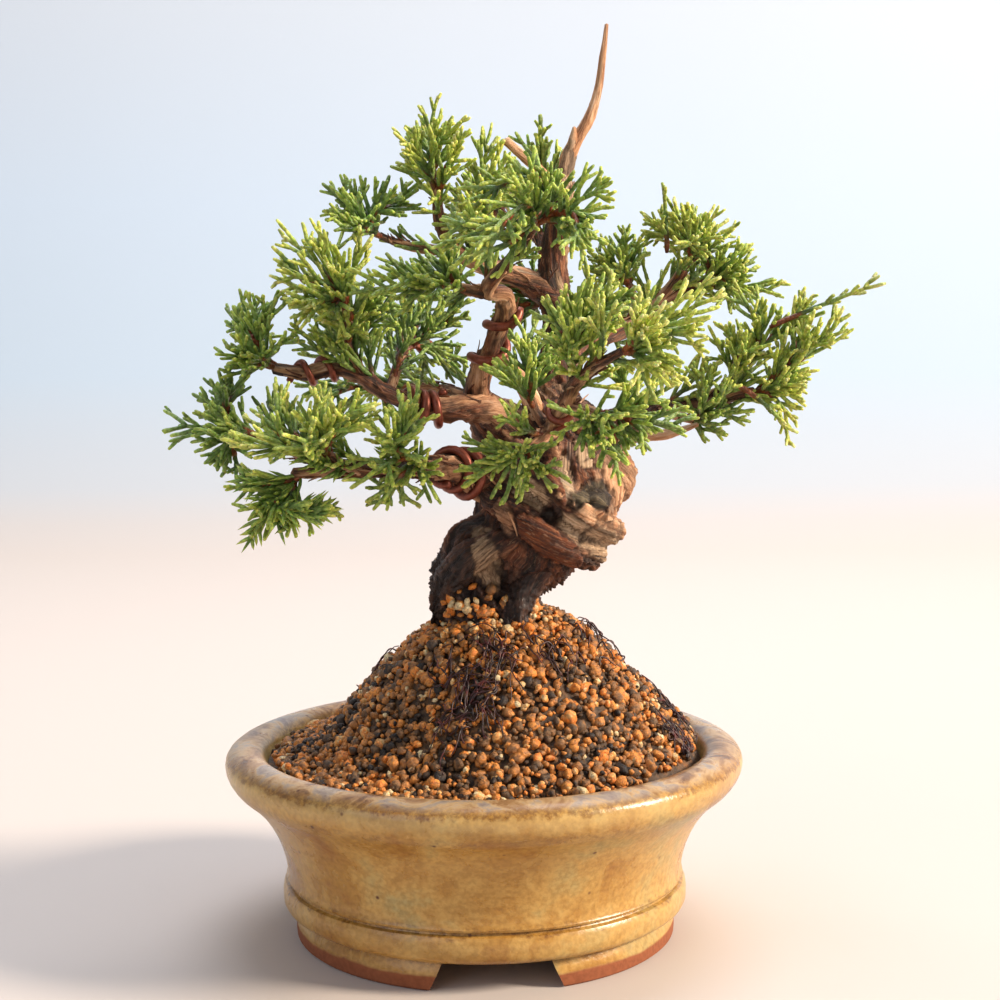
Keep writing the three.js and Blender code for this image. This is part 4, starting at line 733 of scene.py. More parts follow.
class BonsaiPotSettings(bpy.types.PropertyGroup):
    """Sizes and colours of the pot"""

    sides: IntProperty(name="Sides", description="Points round the pot", default=144, min=24)
    unevenness: FloatProperty(name="Unevenness", default=0.3, min=0.0,
                              description="How far the hand-thrown wall wanders, in millimetres")
    iron_colour: colour_setting("Iron", "Colour of the edges where the glaze breaks", "5C381E")
    clay_colour: colour_setting("Clay", "Colour of the bare clay of the feet", "925230")


class BonsaiSoilSettings(bpy.types.PropertyGroup):
    """Sizes of the soil granules"""

    coarse_count: IntProperty(name="Coarse granules", description="Granules of 2 to 4 mm", default=2000, min=1)
    fine_count: IntProperty(name="Fine granules", description="Granules under 2 mm", default=5000, min=0)
    seed: IntProperty(name="Seed", description="Start of the random draws", default=7)


class BonsaiWoodSettings(bpy.types.PropertyGroup):
    """Sizes and colours of the wood"""

    voxel: FloatProperty(name="Voxel", description="Size of the trunk's remeshed faces", default=0.0005,
                         min=0.0003, unit="LENGTH")
    relief: FloatProperty(name="Bark relief", description="Depth of the bark's ridges, in millimetres", default=1.1)
    bark_tint: colour_setting("Bark tint", "Colour laid over the bark", "F2DCCB")
    flakes: IntProperty(name="Bark flakes", description="Peeling strips of bark on the limbs", default=420, min=0)


class BonsaiFoliageSettings(bpy.types.PropertyGroup):
    """Sizes and colours of the foliage"""

    thickness: FloatProperty(name="Shoot thickness", description="Thickness of a scale-leaved shoot",
                             default=0.00098, min=0.0005, unit="LENGTH")
    spacing: FloatProperty(name="Shoot spacing", description="Distance between shoots along a branchlet",
                           default=0.0019, min=0.001, unit="LENGTH")
    leaf_colour: colour_setting("Leaf", "Colour of a grown shoot", "9AB25E")
    tip_colour: colour_setting("Tip", "Colour of a young tip", "F0EA8C")


class BonsaiWireSettings(bpy.types.PropertyGroup):
    """Colour of the training wires"""

    wire_colour: colour_setting("Wire", "Colour of the anodised wire", "8A4A38")


class BonsaiStageSettings(bpy.types.PropertyGroup):
    """Floor, backdrop, lights and camera"""

    key_power: FloatProperty(name="Key light", description="Power of the key light", default=150.0, min=0.0,
                             unit="POWER")
    backdrop_power: FloatProperty(name="Backdrop light", description="Power of the light on the backdrop",
                                  default=7.0, min=0.0, unit="POWER")
    sky_strength: FloatProperty(name="Sky", description="Strength of the even light", default=0.42, min=0.0)
    lens: FloatProperty(name="Lens", description="Focal length of the camera in millimetres", default=62.63)


# ------------------------------------------------------------------ pot and screen


def select_by(obj, test):
    """In edit mode, selects just the faces that pass the test."""
    bpy.ops.mesh.select_mode(type="FACE")
    bpy.ops.mesh.select_all(action="DESELECT")
    mesh = bmesh.from_edit_mesh(obj.data)
    for face in mesh.faces:
        face.select_set(bool(test(face)))
    bmesh.update_edit_mesh(obj.data)


def foot_cutter(turn):
    """A block, narrower at its top, that cuts the gap between two feet and runs 1 mm below them."""
    bpy.ops.mesh.primitive_cube_add(size=1, location=(0, 0, 0))
    block = bpy.context.object
    only(block)
    bpy.ops.object.mode_set(mode="EDIT")
    bpy.ops.mesh.select_all(action="SELECT")
    bpy.ops.transform.resize(value=(FOOT_CUT_BOTTOM * MM, FOOT_CUT_LENGTH * MM, FOOT_HEIGHT * MM),
                             center_override=(0, 0, 0))
    bpy.ops.transform.translate(value=(0, -FOOT_CUT_OUT * MM, FOOT_HEIGHT * MM / 2))
    for side, narrow, drop in ((1, FOOT_CUT_TOP / FOOT_CUT_BOTTOM, 0), (-1, 1 + 1 / FOOT_CUT_BOTTOM, -1 * MM)):
        select_by(block, lambda face: face.normal.z * side > 0.9)
        bpy.ops.transform.resize(value=(narrow, 1, 1), center_override=(0, 0, 0))
        bpy.ops.transform.translate(value=(0, 0, drop))
    bpy.ops.object.mode_set(mode="OBJECT")
    block.data.transform(Matrix.Rotation(math.radians(turn), 4, "Z"))
    return block


class BONSAI_OT_pot(bpy.types.Operator):
    """Turns the pot's profile, cuts the gaps between its feet and glazes it"""

    bl_idname = "bonsai.pot"
    bl_label = "Pot"

    MERGE = 1e-6
    WANDER = 26  # waves to the metre: the wall wanders over some 40 mm
    SHARP_ANGLE = 38

    def execute(self, context):
        settings = context.scene.bonsai_pot
        clear_selection()
        profile = FOOT_RING + POT_OUTSIDE + POT_INSIDE + DRAIN_HOLE
        pot = turned_profile(profile + profile[:1], settings.sides, filled=False)
        bpy.ops.mesh.select_all(action="SELECT")
        bpy.ops.mesh.remove_doubles(threshold=self.MERGE)
        bpy.ops.mesh.normals_make_consistent(inside=False)
        bpy.ops.object.mode_set(mode="OBJECT")
        for k in range(FEET):
            block = foot_cutter(FOOT_CUT_TURN + 360 / FEET * k)
            apply_modifier(pot, "BOOLEAN", operation="DIFFERENCE", object=block, solver="EXACT")
            bpy.data.objects.remove(block)
        places = vertex_places(pot.data)
        wander = np.array([noise.noise(Vector(p) * self.WANDER) for p in places.tolist()])
        above_feet = smoothstep(0.004, 0.012, places[:, 2])
        outward = unit(places * np.array([1, 1, 0]))
        places = places + outward * (wander * above_feet * settings.unevenness * MM)[:, None]
        pot.data.vertices.foreach_set("co", places.ravel())
        only(pot)
        bpy.ops.object.shade_smooth_by_angle(angle=math.radians(self.SHARP_ANGLE))
        place_at_axis(pot)
        finish_piece(pot, "glazed_pot", glazed_stoneware(settings), ["pot"])
        return {"FINISHED"}


class BONSAI_OT_screen(bpy.types.Operator):
    """Gives the mesh over the drainage hole its plastic"""

    bl_idname = "bonsai.screen"
    bl_label = "Drain screen"

    def execute(self, context):
        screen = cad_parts["drain_screen"]
        screen.data.materials.clear()
        screen.data.materials.append(polythene_mesh())
        return {"FINISHED"}


# ------------------------------------------------------------------ soil

# The side of the bed under the granules, from the pot's floor to the soil's edge: radius, height. Its top
# is turned flat at one height, and then takes the mound's.
BED_SIDE = [(38.0, 12.4), (41.2, 17), (43.6, 24), (46.6, 30), (48.6, 35.5), (49.6, 39), (SOIL_WALL, 41)]
BED_TOP = 41.5
BED_DEPTH = 1.7

# Kinds of clay, from black through grey-brown, orange and ochre to pale, and how common each is.
CLAYS = [0.08, 0.2, 0.3, 0.42, 0.52, 0.62, 0.76, 0.88, 1.0]
CLAY_SHARES = [0.07, 0.11, 0.15, 0.18, 0.17, 0.13, 0.08, 0.08, 0.03]


def mound_height(x, y):
    """The CAD's mound, a little slumped on the left and heaped against the rim on the right."""
    out = np.minimum(np.hypot(x - SOIL_CENTRE[0], y - SOIL_CENTRE[1]) / SOIL_REACH, 1)
    slope = smoothstep(1.0, 0.7, out)
    slump = (2.4 * smoothstep(2, -22, x) - 0.6 * smoothstep(6, 22, x)) * slope
    heap = 2.0 * smoothstep(30, 40, x) * smoothstep(30, 5, y) * smoothstep(SOIL_WALL, 46, np.hypot(x, y))
    return SOIL_EDGE + SOIL_RISE * (0.5 + 0.5 * np.cos(np.pi * out**1.35)) - slump + heap


def granule_pattern(draw, subdivisions):
    """A rounded, slightly faceted granule of unit radius."""
    bpy.ops.mesh.primitive_ico_sphere_add(subdivisions=subdivisions, radius=1, location=(0, 0, 0))
    granule = bpy.context.object
    offset = Vector([draw.uniform(0, 50) for _ in range(3)])
    for vertex in granule.data.vertices:
        vertex.co *= 1 + 0.55 * noise.noise(vertex.co * 1.3 + offset)
    return Pattern(granule)


def turned_copies(pattern, centres, sizes, draw):
    """A pattern's copies at the centres, each turned and stretched its own way."""
    count = len(centres)
    w, x, y, z = unit(draw.normal(size=(count, 4))).T
    rotation = np.stack([
        1 - 2 * (y * y + z * z), 2 * (x * y - z * w), 2 * (x * z + y * w),
        2 * (x * y + z * w), 1 - 2 * (x * x + z * z), 2 * (y * z - x * w),
        2 * (x * z - y * w), 2 * (y * z + x * w), 1 - 2 * (x * x + y * y)], axis=1).reshape(count, 3, 3)
    stretch = draw.uniform(0.62, 1.16, size=(count, 1, 3)) * sizes[:, None, None]
    return np.einsum("nij,nvj->nvi", rotation, pattern.points[None] * stretch) + centres[:, None, :]


def scattered(count, draw, rim):
    """Points spread evenly out to a radius, each on the next turn of a spiral, then shaken."""
    turn = np.arange(count) * math.pi * (3 - math.sqrt(5))
    out = np.sqrt((np.arange(count) + 0.5) / count) * rim
    return (np.stack([out * np.cos(turn), out * np.sin(turn)], axis=1)
            + draw.normal(scale=0.9, size=(count, 2)))


def lift_to_trunk(centres, sizes, draw, stuck=40):
    """Moves the first granules to the trunk's foot, where they stick to its front."""
    foot = follow(TRUNK[0], 12)
    top = centres[:, 2].max()
    foot = foot[(foot[:, 2] > top - 1) & (foot[:, 2] < top + 7)]
    for k, share in enumerate(draw.beta(1.0, 2.6, stuck)):
        row = foot[int(share * len(foot))]
        turn = draw.uniform(math.pi * 1.27, math.pi * 1.95)
        centres[k] = row[:3] + row[3] * np.array([math.cos(turn), math.sin(turn), 0])
        sizes[k] = draw.uniform(0.7, 1.4)


class BONSAI_OT_soil(bpy.types.Operator):
    """Heaps granules of several clays on the mound that fills the pot"""

    bl_idname = "bonsai.soil"
    bl_label = "Soil"

    # A grade's smallest and largest radius, and how far it is lifted: the fine granules lie on the coarse.
    COARSE = (0.85, 1.75, 0.1)
    FINE = (0.5, 1.1, 0.45)

    def execute(self, context):
        settings = context.scene.bonsai_soil
        clear_selection()
        material = damp_granules()
        self.bed(material)
        draw = np.random.default_rng(settings.seed)
        shapes = random.Random(settings.seed)
        coarse = [granule_pattern(shapes, 2) for _ in range(5)]
        fine = [granule_pattern(shapes, 1) for _ in range(4)]
        self.granules("soil_granules_coarse", coarse, settings.coarse_count, self.COARSE, draw, material)
        self.granules("soil_granules_fine", fine, settings.fine_count, self.FINE, draw, material)
        return {"FINISHED"}

    def bed(self, material):
        """The closed body of soil that the granules lie on."""
        top_rings = [(SOIL_WALL * share, BED_TOP) for share in np.linspace(0.97, 0.03, 32)]
        bed = turned_profile(BED_SIDE + top_rings, 120, filled=True)
        bpy.ops.object.mode_set(mode="OBJECT")
        places = vertex_places(bed.data) / MM
        top = places[:, 2] > BED_TOP - 0.3
        rough = noise_at(places[top], 2.2, 3.0)
        places[top, 2] = mound_height(places[top, 0], places[top, 1]) - BED_DEPTH + rough * 0.9
        bed.data.vertices.foreach_set("co", (places * MM).ravel())
        # Painted shade: the bed shows between the granules, so it is given dark clays and laid with near-black for
        # the shade in the gaps.
        set_attribute(bed.data, "kind", np.where(noise_at(places, 5, 9.0) > 0.1, 0.34, 0.2))
        set_attribute(bed.data, "shade", np.full(len(places), 0.45))
        only(bed)
        bpy.ops.object.shade_smooth()
        place_at_axis(bed)
        finish_piece(bed, "soil_bed", material, ["soil"])

    def granules(self, name, patterns, count, grade, draw, material):
        """One grade of granules, scattered over the mound."""
        low, high, lift = grade
        spots = scattered(count, draw, SOIL_WALL - high)
        spots = spots[np.hypot(spots[:, 0], spots[:, 1]) < SOIL_WALL - high * 0.8]
        count = len(spots)
        sizes = low + (high - low) * draw.beta(1.5, 2.6, count)
        height = mound_height(spots[:, 0], spots[:, 1]) - 1.1 + lift + draw.uniform(-0.7, 0.9, count)
        centres = np.column_stack([spots, height])
        lift_to_trunk(centres, sizes, draw)
        # Clays lie in patches some 13 mm across. Near the trunk, on the mound's top, they are painted paler: painted
        # light where the light falls on the top.
        kind = draw.choice(CLAYS, count, p=CLAY_SHARES)
        patches = np.array([noise.noise(Vector((x / 13, y / 13, 4.0))) for x, y in spots.tolist()])
        near = 0.2 * smoothstep(26, 10, np.hypot(spots[:, 0], spots[:, 1]))
        kind = np.clip(kind + near + draw.normal(scale=0.03, size=count) - 0.35 * np.maximum(patches, 0), 0, 1)
        shade = draw.uniform(0, 0.15, count)
        which = draw.integers(0, len(patterns), count)
        batches = [(pattern, turned_copies(pattern, centres[which == k], sizes[which == k], draw),
                    {"kind": kind[which == k][:, None], "shade": shade[which == k][:, None]})
                   for k, pattern in enumerate(patterns)]
        finish_piece(mesh_of_copies(name, batches), name, material, ["soil"])


class BONSAI_OT_roots(bpy.types.Operator):
    """Lays fine roots over the granules, in tufts and single hairs"""

    bl_idname = "bonsai.roots"
    bl_label = "Fine roots"

    # Where a tuft lies on the mound: x, y, spread, number of hairs, how far they stand up.
    TUFTS = [(-3, -30, 5, 44, 1.0), (2, -22, 4, 30, 1.2), (44, -18, 2.6, 40, 1.0), (44, -4, 2.6, 26, 0.8),
             (24, -8, 7, 10, 1.6), (-27, 4, 5, 6, 1.2), (30, 10, 6, 7, 1.6), (-8, -24, 5, 12, 0.8),
             (16, -20, 6, 14, 0.9), (-20, 26, 8, 12, 1.6), (8, 34, 8, 14, 1.4), (38, 20, 6, 10, 1.6)]

    JOINTS = 6

    def execute(self, context):
        draw = random.Random(23)
        skin = Skin()
        for x, y, spread, hairs, lift in self.TUFTS:
            for _ in range(hairs):
                spot = np.array([x + draw.gauss(0, spread * 0.5), y + draw.gauss(0, spread * 0.5)])
                turn = draw.uniform(0, 2 * math.pi)
                step = draw.uniform(3, 9) / self.JOINTS
                rows = []
                for k in range(self.JOINTS + 1):
                    # A hair starts in the soil and arches over it, inside the pot's wall.
                    rise = math.sin(math.pi * k / self.JOINTS) * lift * draw.uniform(0.6, 1.4) if k else -0.6
                    if k:
                        spot = spot + step * np.array([math.cos(turn), math.sin(turn)])
                    spot = spot * min(1, (SOIL_WALL - 0.8) / np.hypot(*spot))
                    rows.append([*spot, float(mound_height(*spot)) + 0.7 + rise,
                                 draw.uniform(0.15, 0.27) * (1 - k * 0.08)])
                    turn += draw.gauss(0, 0.5)
                add_tube(skin, follow(rows, 3), 5)
        finish_piece(skin.piece("fine_roots"), "fine_roots", hair_root())
        return {"FINISHED"}


# ------------------------------------------------------------------ wood

# Marks on the trunk's front, as seen from the front: x, z, half length, half width, tilt in degrees,
# attribute, strength, and how far the surface moves out (mm).
# The lit marks are painted light: pale patches where the light falls brightest on the knots.
MARKS = [
    (14.5, 92.6, 9.5, 3.6, -38, "plate", 1.0, 0.5),
    (10.0, 104.5, 6.2, 2.1, -38, "bare", 1.0, -0.3),
    (22.7, 94.6, 7.4, 2.2, -36, "bare", 0.9, -0.5),
    (18.5, 106.7, 6.4, 2.2, -73, "bare", 1.0, -0.4),
    (22.8, 111.7, 3.2, 1.6, -66, "bare", 1.0, 0.0),
    # A knot hole, sunk 1.2 mm and painted in the wet wood's near-black: partly the dark wood of the hole, partly
    # painted shade in the hollow.
    (15.2, 98.9, 2.0, 1.5, -45, "wet", 1.0, -1.2),
    (24.7, 102.4, 5.6, 3.0, 23, "old", 0.9, 0.3),
    (32.0, 107.0, 8.0, 4.2, -77, "pale_wood_and_painted_light", 0.75, 0.0),
    (25.6, 97.4, 6.4, 2.3, -31, "pale_wood_and_painted_light", 1.0, 0.7),
    (0.7, 88.2, 7.8, 2.9, -75, "bare", 0.85, -0.6),
    (4.6, 98.6, 4.4, 1.8, -68, "pale_wood_and_painted_light", 0.5, 0.3),
    (16.2, 106.7, 6.2, 1.3, -73, "plate", 0.8, 0.5),
    (17.0, 103.2, 0.9, 0.8, -59, "pale_wood_and_painted_light", 1.0, 0.5),
    (27.5, 91.5, 5.0, 3.6, -60, "bare", 0.9, 0.0),
]

# Old buds and cut twigs that stand out as knobs, and hollows: x, y, z, size, how far they stand out.
KNOBS = [
    (-12.5, -5, 87.5, 1.3, 1.1), (-14, -2, 79.5, 1.4, 1.0), (-14, -6, 73, 1.2, 0.9), (-9, -9, 92, 1.2, 1.0),
    (-6, -4, 93.5, 4.5, 2.2), (-17, -2, 68, 7, -3.0), (-15, -3, 74, 8, -2.2), (31, -1, 90, 5, -4.0),
    (26, -2, 86, 4.5, -3.6),
]

# The shares of a wood surface that are wet, bare, and so on, as the material reads them.
SHARES = ("wet", "bare", "plate", "pale_wood_and_painted_light", "old", "painted_shade_and_stains")


def wood_lines():
    """Every stretch of the trunk with its kind: live, or dead where the bark has gone."""
    lines = [(follow(stations, 12), 0.0) for stations in TRUNK + STRANDS + [SAWN_STUB]]
    lines += [(follow(stations[:3], 10), 0.0) for stations in LIMBS.values() if stations[0][3] >= 4]
    lines += [(follow(stations[:2], 8), 0.6) for stations in DEAD_WOOD.values()]
    return lines


def nearest_stretch(places, lines, batch=4000):
    """For each place: distance along, turn round and radius of the stretch whose surface is nearest, and
    whether it is dead."""
    columns = []
    for rows, is_dead in lines:
        _, side, across = frames_along(rows[:, :3])
        columns.append((rows[:, :3], side, across, rows[:, 3], length_along(rows[:, :3]),
                        np.full(len(rows), is_dead)))
    centres, sides, acrosses, radii, distances, dead = (np.concatenate(column) for column in zip(*columns))
    found = np.empty(len(places), int)
    for start in range(0, len(places), batch):
        part = places[start:start + batch]
        gaps = np.linalg.norm(part[:, None, :] - centres[None], axis=2) - radii[None]
        found[start:start + batch] = gaps.argmin(axis=1)
    offset = places - centres[found]
    turn = np.arctan2((offset * acrosses[found]).sum(1), (offset * sides[found]).sum(1))
    return distances[found], turn, radii[found], dead[found]


def grain_vector(along, turn, radius, twist=0.06, stretch=0.16):
    """Coordinates in which bark fibres are drawn: round the limb in full, along it compressed."""
    along, turn, radius = np.broadcast_arrays(along, turn, radius)
    turned = turn + along * twist
    return np.stack([np.cos(turned) * radius, np.sin(turned) * radius, along * stretch], axis=-1)


def lay_marks(places, normals, values):
    """Lays the marks over the shares. Gives how far they move the surface, and the marks' ragged rims."""
    lift = np.zeros(len(places))
    rims = np.zeros(len(places))
    edge_noise = noise_at(places, 2.6, 5.0) * 0.35
    front = smoothstep(0.35, -0.1, normals[:, 1]) * (places[:, 1] < 4)
    for x, z, half_length, half_width, tilt, name, strength, raise_by in MARKS:
        cosine, sine = math.cos(math.radians(tilt)), math.sin(math.radians(tilt))
        dx, dz = places[:, 0] - x, places[:, 2] - z
        reach = edge_noise + np.hypot((dx * cosine + dz * sine) / half_length, (dz * cosine - dx * sine) / half_width)
        inside = smoothstep(1.15, 0.85, reach) * front
        rim = smoothstep(0.9, 1.08, reach) * smoothstep(1.42, 1.15, reach) * front
        rims = np.maximum(rims * (1 - inside), rim)
        for other in values:
            if other != name:
                values[other] = values[other] * (1 - inside)
        values[name] = np.maximum(values[name], inside * strength)
        lift += inside * raise_by
    return lift, rims


class BONSAI_OT_wood(bpy.types.Operator):
    """Grows the twisted trunk, the limbs, the dead wood and the peeling bark"""

    bl_idname = "bonsai.wood"
    bl_label = "Trunk and limbs"

    def execute(self, context):
        settings = context.scene.bonsai_wood
        material = juniper_bark(settings)
        self.trunk(settings, material)
        self.limbs(material)
        self.flakes(settings, material)
        return {"FINISHED"}

    def trunk(self, settings, material):
        """The trunk's strands melted into one body, then carved with its bark, marks and knobs."""
        lines = wood_lines()
        skin = Skin()
        for rows, _ in lines:
            add_tube(skin, rows, 20)
        trunk = skin.piece("trunk")
        apply_modifier(trunk, "REMESH", mode="VOXEL", voxel_size=settings.voxel, use_smooth_shade=True)
        apply_modifier(trunk, "SMOOTH", factor=0.5, iterations=3)
        places = (vertex_places(trunk.data) - POT_AXIS) / MM
        normals = np.empty(len(places) * 3)
        trunk.data.vertex_normals.foreach_get("vector", normals)
        normals = normals.reshape(-1, 3)
        along, turn, radius, dead = nearest_stretch(places, lines)
        grain = grain_vector(along, turn, radius)
        values = {"wet": smoothstep(94, 84, places[:, 2] + noise_at(places, 6, 2.0) * 4 + 0.3 * places[:, 0]),
                  "plate": np.zeros(len(places)), "old": np.zeros(len(places))}
        # Behind, strips of the trunk have lost their bark too.
        strips = noise_at(grain * np.array([1, 1, 0.6]), 7.0, 11.0, 2)
        behind = smoothstep(-2, 6, places[:, 1]) * smoothstep(78, 88, places[:, 2])
        values["bare"] = np.maximum(dead, behind * smoothstep(0.22, 0.4, strips))
        # Painted light: the knots' sides that face the key light on the right are painted pale.
        knots = smoothstep(84, 92, places[:, 2]) * smoothstep(120, 110, places[:, 2])
        values["pale_wood_and_painted_light"] = 0.8 * smoothstep(0.25, 0.8, normals[:, 0]) * knots
        lift, rims = lay_marks(places, normals, values)
        # Ridges of bark 2.3 mm apart, furrows 5 mm apart and crumbs of 1 mm, fainter where the wood is smooth.
        ridges = noise_at(grain, 2.3, 1.0, 4) * 0.75
        furrows = (-np.abs(noise_at(grain, 5.0, 7.0, 2)) * 1.6 + 0.4) * 0.55
        crumbs = noise_at(places, 1.1, 3.0, 3) * (0.25 + 0.75 * smoothstep(96, 82, places[:, 2]))
        rough_part = 1 - 0.75 * np.maximum.reduce(
            [values["plate"], 0.5 * values["old"], 0.6 * values["pale_wood_and_painted_light"], 0.5 * values["bare"]])
        thick = smoothstep(1.5, 6.0, radius)
        move = settings.relief * (ridges + furrows + crumbs) * rough_part * (0.25 + 0.75 * thick)
        move += lift - 0.5 * thick - 0.45 * rims
        for x, y, z, size, height in KNOBS:
            gap = np.linalg.norm(places - np.array([x, y, z]), axis=1)
            move += height * smoothstep(size * 1.8, size * 0.4, gap)
        # Painted shade: near-black is laid deep in the bark's furrows, between its ridges and along the marks' sunken
        # rims. The stains are real dark patches of bark.
        stains = smoothstep(0.05, 0.45, noise_at(places, 4.5, 13.0, 4)) * (1 - values["pale_wood_and_painted_light"]) * (1 - values["bare"])
        deep = smoothstep(0.05, -0.45, ridges + furrows + crumbs * 0.5) * rough_part
        values["painted_shade_and_stains"] = np.maximum.reduce([deep, stains * 0.6, rims * 0.85])
        places = places + normals * move[:, None]
        trunk.data.vertices.foreach_set("co", to_row(places).ravel())
        trunk.data.update()
        for name in SHARES:
            set_attribute(trunk.data, name, values[name])
        set_attribute(trunk.data, "grain", grain, "FLOAT_VECTOR")
        finish_piece(trunk, "trunk", material, ["tree"])

    def limbs(self, material):
        """Every limb and dead branch as a tube with ridges along it."""
        skin = Skin()
        every = [(stations, 0.0) for stations in LIMBS.values()] + [(s, 1.0) for s in DEAD_WOOD.values()]
        for k, (stations, dead) in enumerate(every):
            rows = follow(stations, 10)
            rows[:, 3] *= 1 - 0.12 * dead
            rings, outward, along, turns = swept(rows, 16)
            radius = rows[:, 3][:, None]
            grain = grain_vector(along[:, None], turns[None, :], radius + 0.6)
            grain[..., 2] += k * 7.0
            flat = grain.reshape(-1, 3)
            shape = rings.shape[:2]
            swell = (noise_at(flat, 1.1, 2.0, 4) * 0.26 + noise_at(flat, 4.0, 6.0, 2) * 0.16).reshape(shape)
            rings = rings + outward * (swell * radius * (1 - 0.2 * dead))[..., None]
            ends = np.array([rows[0, :3], rows[-1, :3] + unit(rows[-1, :3] - rows[-2, :3]) * rows[-1, 3] * 0.6])
            # Pale patches of bark and the dead wood take the pale tones, their real colour; the dips between the
            # ridges are painted dark, as painted shade.
            pale = smoothstep(-0.1, 0.35, noise_at(flat * np.array([0.6, 0.6, 1.0]), 3.0, 8.0, 2)).reshape(shape)
            skin.add(rings, ends, grain=grain, **{
                **dict.fromkeys(SHARES, 0.0), "bare": dead * 0.5, "pale_wood_and_painted_light": np.maximum(pale * 0.75, dead * 0.95),
                "painted_shade_and_stains": smoothstep(0.02, -0.16, swell) * (1 - 0.7 * dead)})
        finish_piece(skin.piece("limbs"), "limbs", material, ["tree"])

    def flakes(self, settings, material):
        """Strips of bark that have come loose and curl away from the limbs."""
        draw = random.Random(31)
        skin = Skin()
        # Each line with how many flakes it has for its length.
        lines = [(follow(s, 10), 4.0 if n == "left_low" else 1.0) for n, s in LIMBS.items()]
        lines += [(follow(s, 14), 0.8) for s in TRUNK[1:]]
        lines += [(follow(s, 10), 0.5) for s in STRANDS[:3]]
        weights = [length_along(rows[:, :3])[-1] * share for rows, share in lines]
        for _ in range(settings.flakes):
            rows, _ = draw.choices(lines, weights)[0]
            _, side, across = frames_along(rows[:, :3])
            start = draw.randrange(0, max(1, len(rows) - 8))
            span = draw.randrange(4, 8)
            turn = draw.uniform(0, 2 * math.pi)
            curl = draw.uniform(0.2, 1.3)
            part = rows[start:start + span]
            if len(part) < 4 or part[:, 2].min() < 96:
                continue
            strip = []
            for k, row in enumerate(part):
                share = k / (len(part) - 1)
                out = spoke(side[start + k], across[start + k], turn + share * 0.5)
                lift = row[3] * 1.04 + curl * share**2
                strip.append([*(row[:3] + out * lift), draw.uniform(0.16, 0.34) * (1.1 - share * 0.6)])
            rings, _, along, turns = swept(follow(strip, 2), 5)
            grain = grain_vector(along[:, None], turns[None, :], 1.0)
            grain[..., 2] += draw.uniform(0, 90)
            ends = np.array([rings[0].mean(0), rings[-1].mean(0)])
            skin.add(rings, ends, grain=grain, **{
                **dict.fromkeys(SHARES, 0.0), "plate": draw.choice([0, 0.7]), "pale_wood_and_painted_light": draw.choice([0, 0, 0.7])})
        finish_piece(skin.piece("bark_flakes"), "bark_flakes", material)


# ------------------------------------------------------------------ wires


class BONSAI_OT_wires(bpy.types.Operator):
    """Winds the training wires round their limbs"""

    bl_idname = "bonsai.wires"
    bl_label = "Training wires"

    STEPS_PER_TURN = 20
    SMOOTHINGS = 2
    GAP = 0.15  # between the wire and the smooth limb: the bark's ridges fill it

    def execute(self, context):
        material = anodised_wire(context.scene.bonsai_wire)
        for name, (limb, start, end, turns, radius, first) in WIRES.items():
            rows = follow(LIMBS[limb], 24)
            _, side, across = frames_along(rows[:, :3])
            steps = math.ceil(turns * self.STEPS_PER_TURN)
            coil = []
            for k in range(steps + 1):
                at = round((start + (end - start) * k / steps) * (len(rows) - 1))
                out = spoke(side[at], across[at], first + 2 * math.pi * turns * k / steps)
                coil.append([*(rows[at, :3] + out * (rows[at, 3] + radius + self.GAP)), radius])
            coil = np.array(coil)
            for _ in range(self.SMOOTHINGS):
                coil[1:-1, :3] = (coil[:-2, :3] + 2 * coil[1:-1, :3] + coil[2:, :3]) / 4
            skin = Skin()
            add_tube(skin, coil, 14)
            finish_piece(skin.piece("coiled_" + name), "coiled_" + name, material, [name])
        return {"FINISHED"}


# ------------------------------------------------------------------ foliage


CORD_SIDES = 5
SCALE_TWIST = math.radians(18)


def cord_pattern(draw, steps, taper=0.2):
    """A scale-leaved shoot one unit long, swelling a little at every other pair of scales, with a blunt tip."""
    radius, height = 0.9, 0.0
    cord = start_disc(CORD_SIDES, radius)
    heights = [k / (steps - 1) for k in range(1, steps - 1)] + [1 - 0.25 / steps, 1.0]
    for k, next_height in enumerate(heights):
        width = 0.88 + taper * (1 - next_height)
        next_radius = width * (1.07 if k % 2 else 0.93) * draw.uniform(0.96, 1.04)
        if k >= len(heights) - 2:
            next_radius = width * (0.86, 0.42)[k - len(heights) + 2]
        pull_up(next_height - height, next_radius / radius, next_height, SCALE_TWIST)
        radius, height = next_radius, next_height
    bpy.ops.object.mode_set(mode="OBJECT")
    clear_selection()
    return Pattern(cord)


def needle_pattern():
    """A pointed juvenile leaf one unit long."""
    needle = start_disc(4, 0.7)
    for rise, grow in ((0.35, 1.4), (0.35, 0.75), (0.3, 0.1)):
        pull_up(rise, grow)
    bpy.ops.object.mode_set(mode="OBJECT")
    clear_selection()
    return Pattern(needle)


# A spray's branchlets leave the last 24 mm of its twig.
SPRAY_FOOT = 24


class Shoot:
    """One cord: its root, how it runs (straight part and bend), radius, the ages of its ends and its pattern."""

    def __init__(self, root, straight, bend, radius, ages, pattern):
        self.root, self.straight, self.bend = root, straight, bend
        self.radius, self.ages, self.pattern = radius, ages, pattern

    def at(self, share):
        """The place at a share of the shoot's length."""
        return self.root + self.straight * share + self.bend * share**2

    def way(self, share):
        """The way the shoot runs there."""
        return unit(self.straight + 2 * self.bend * share)


def around(way, turn):
    """A direction at right angles to a way, turned round it."""
    side = np.cross(way, [0.0, 0.0, 1.0] if abs(way[2]) < 0.9 else [1.0, 0.0, 0.0])
    side = side / np.linalg.norm(side)
    return spoke(side, np.cross(way, side), turn)


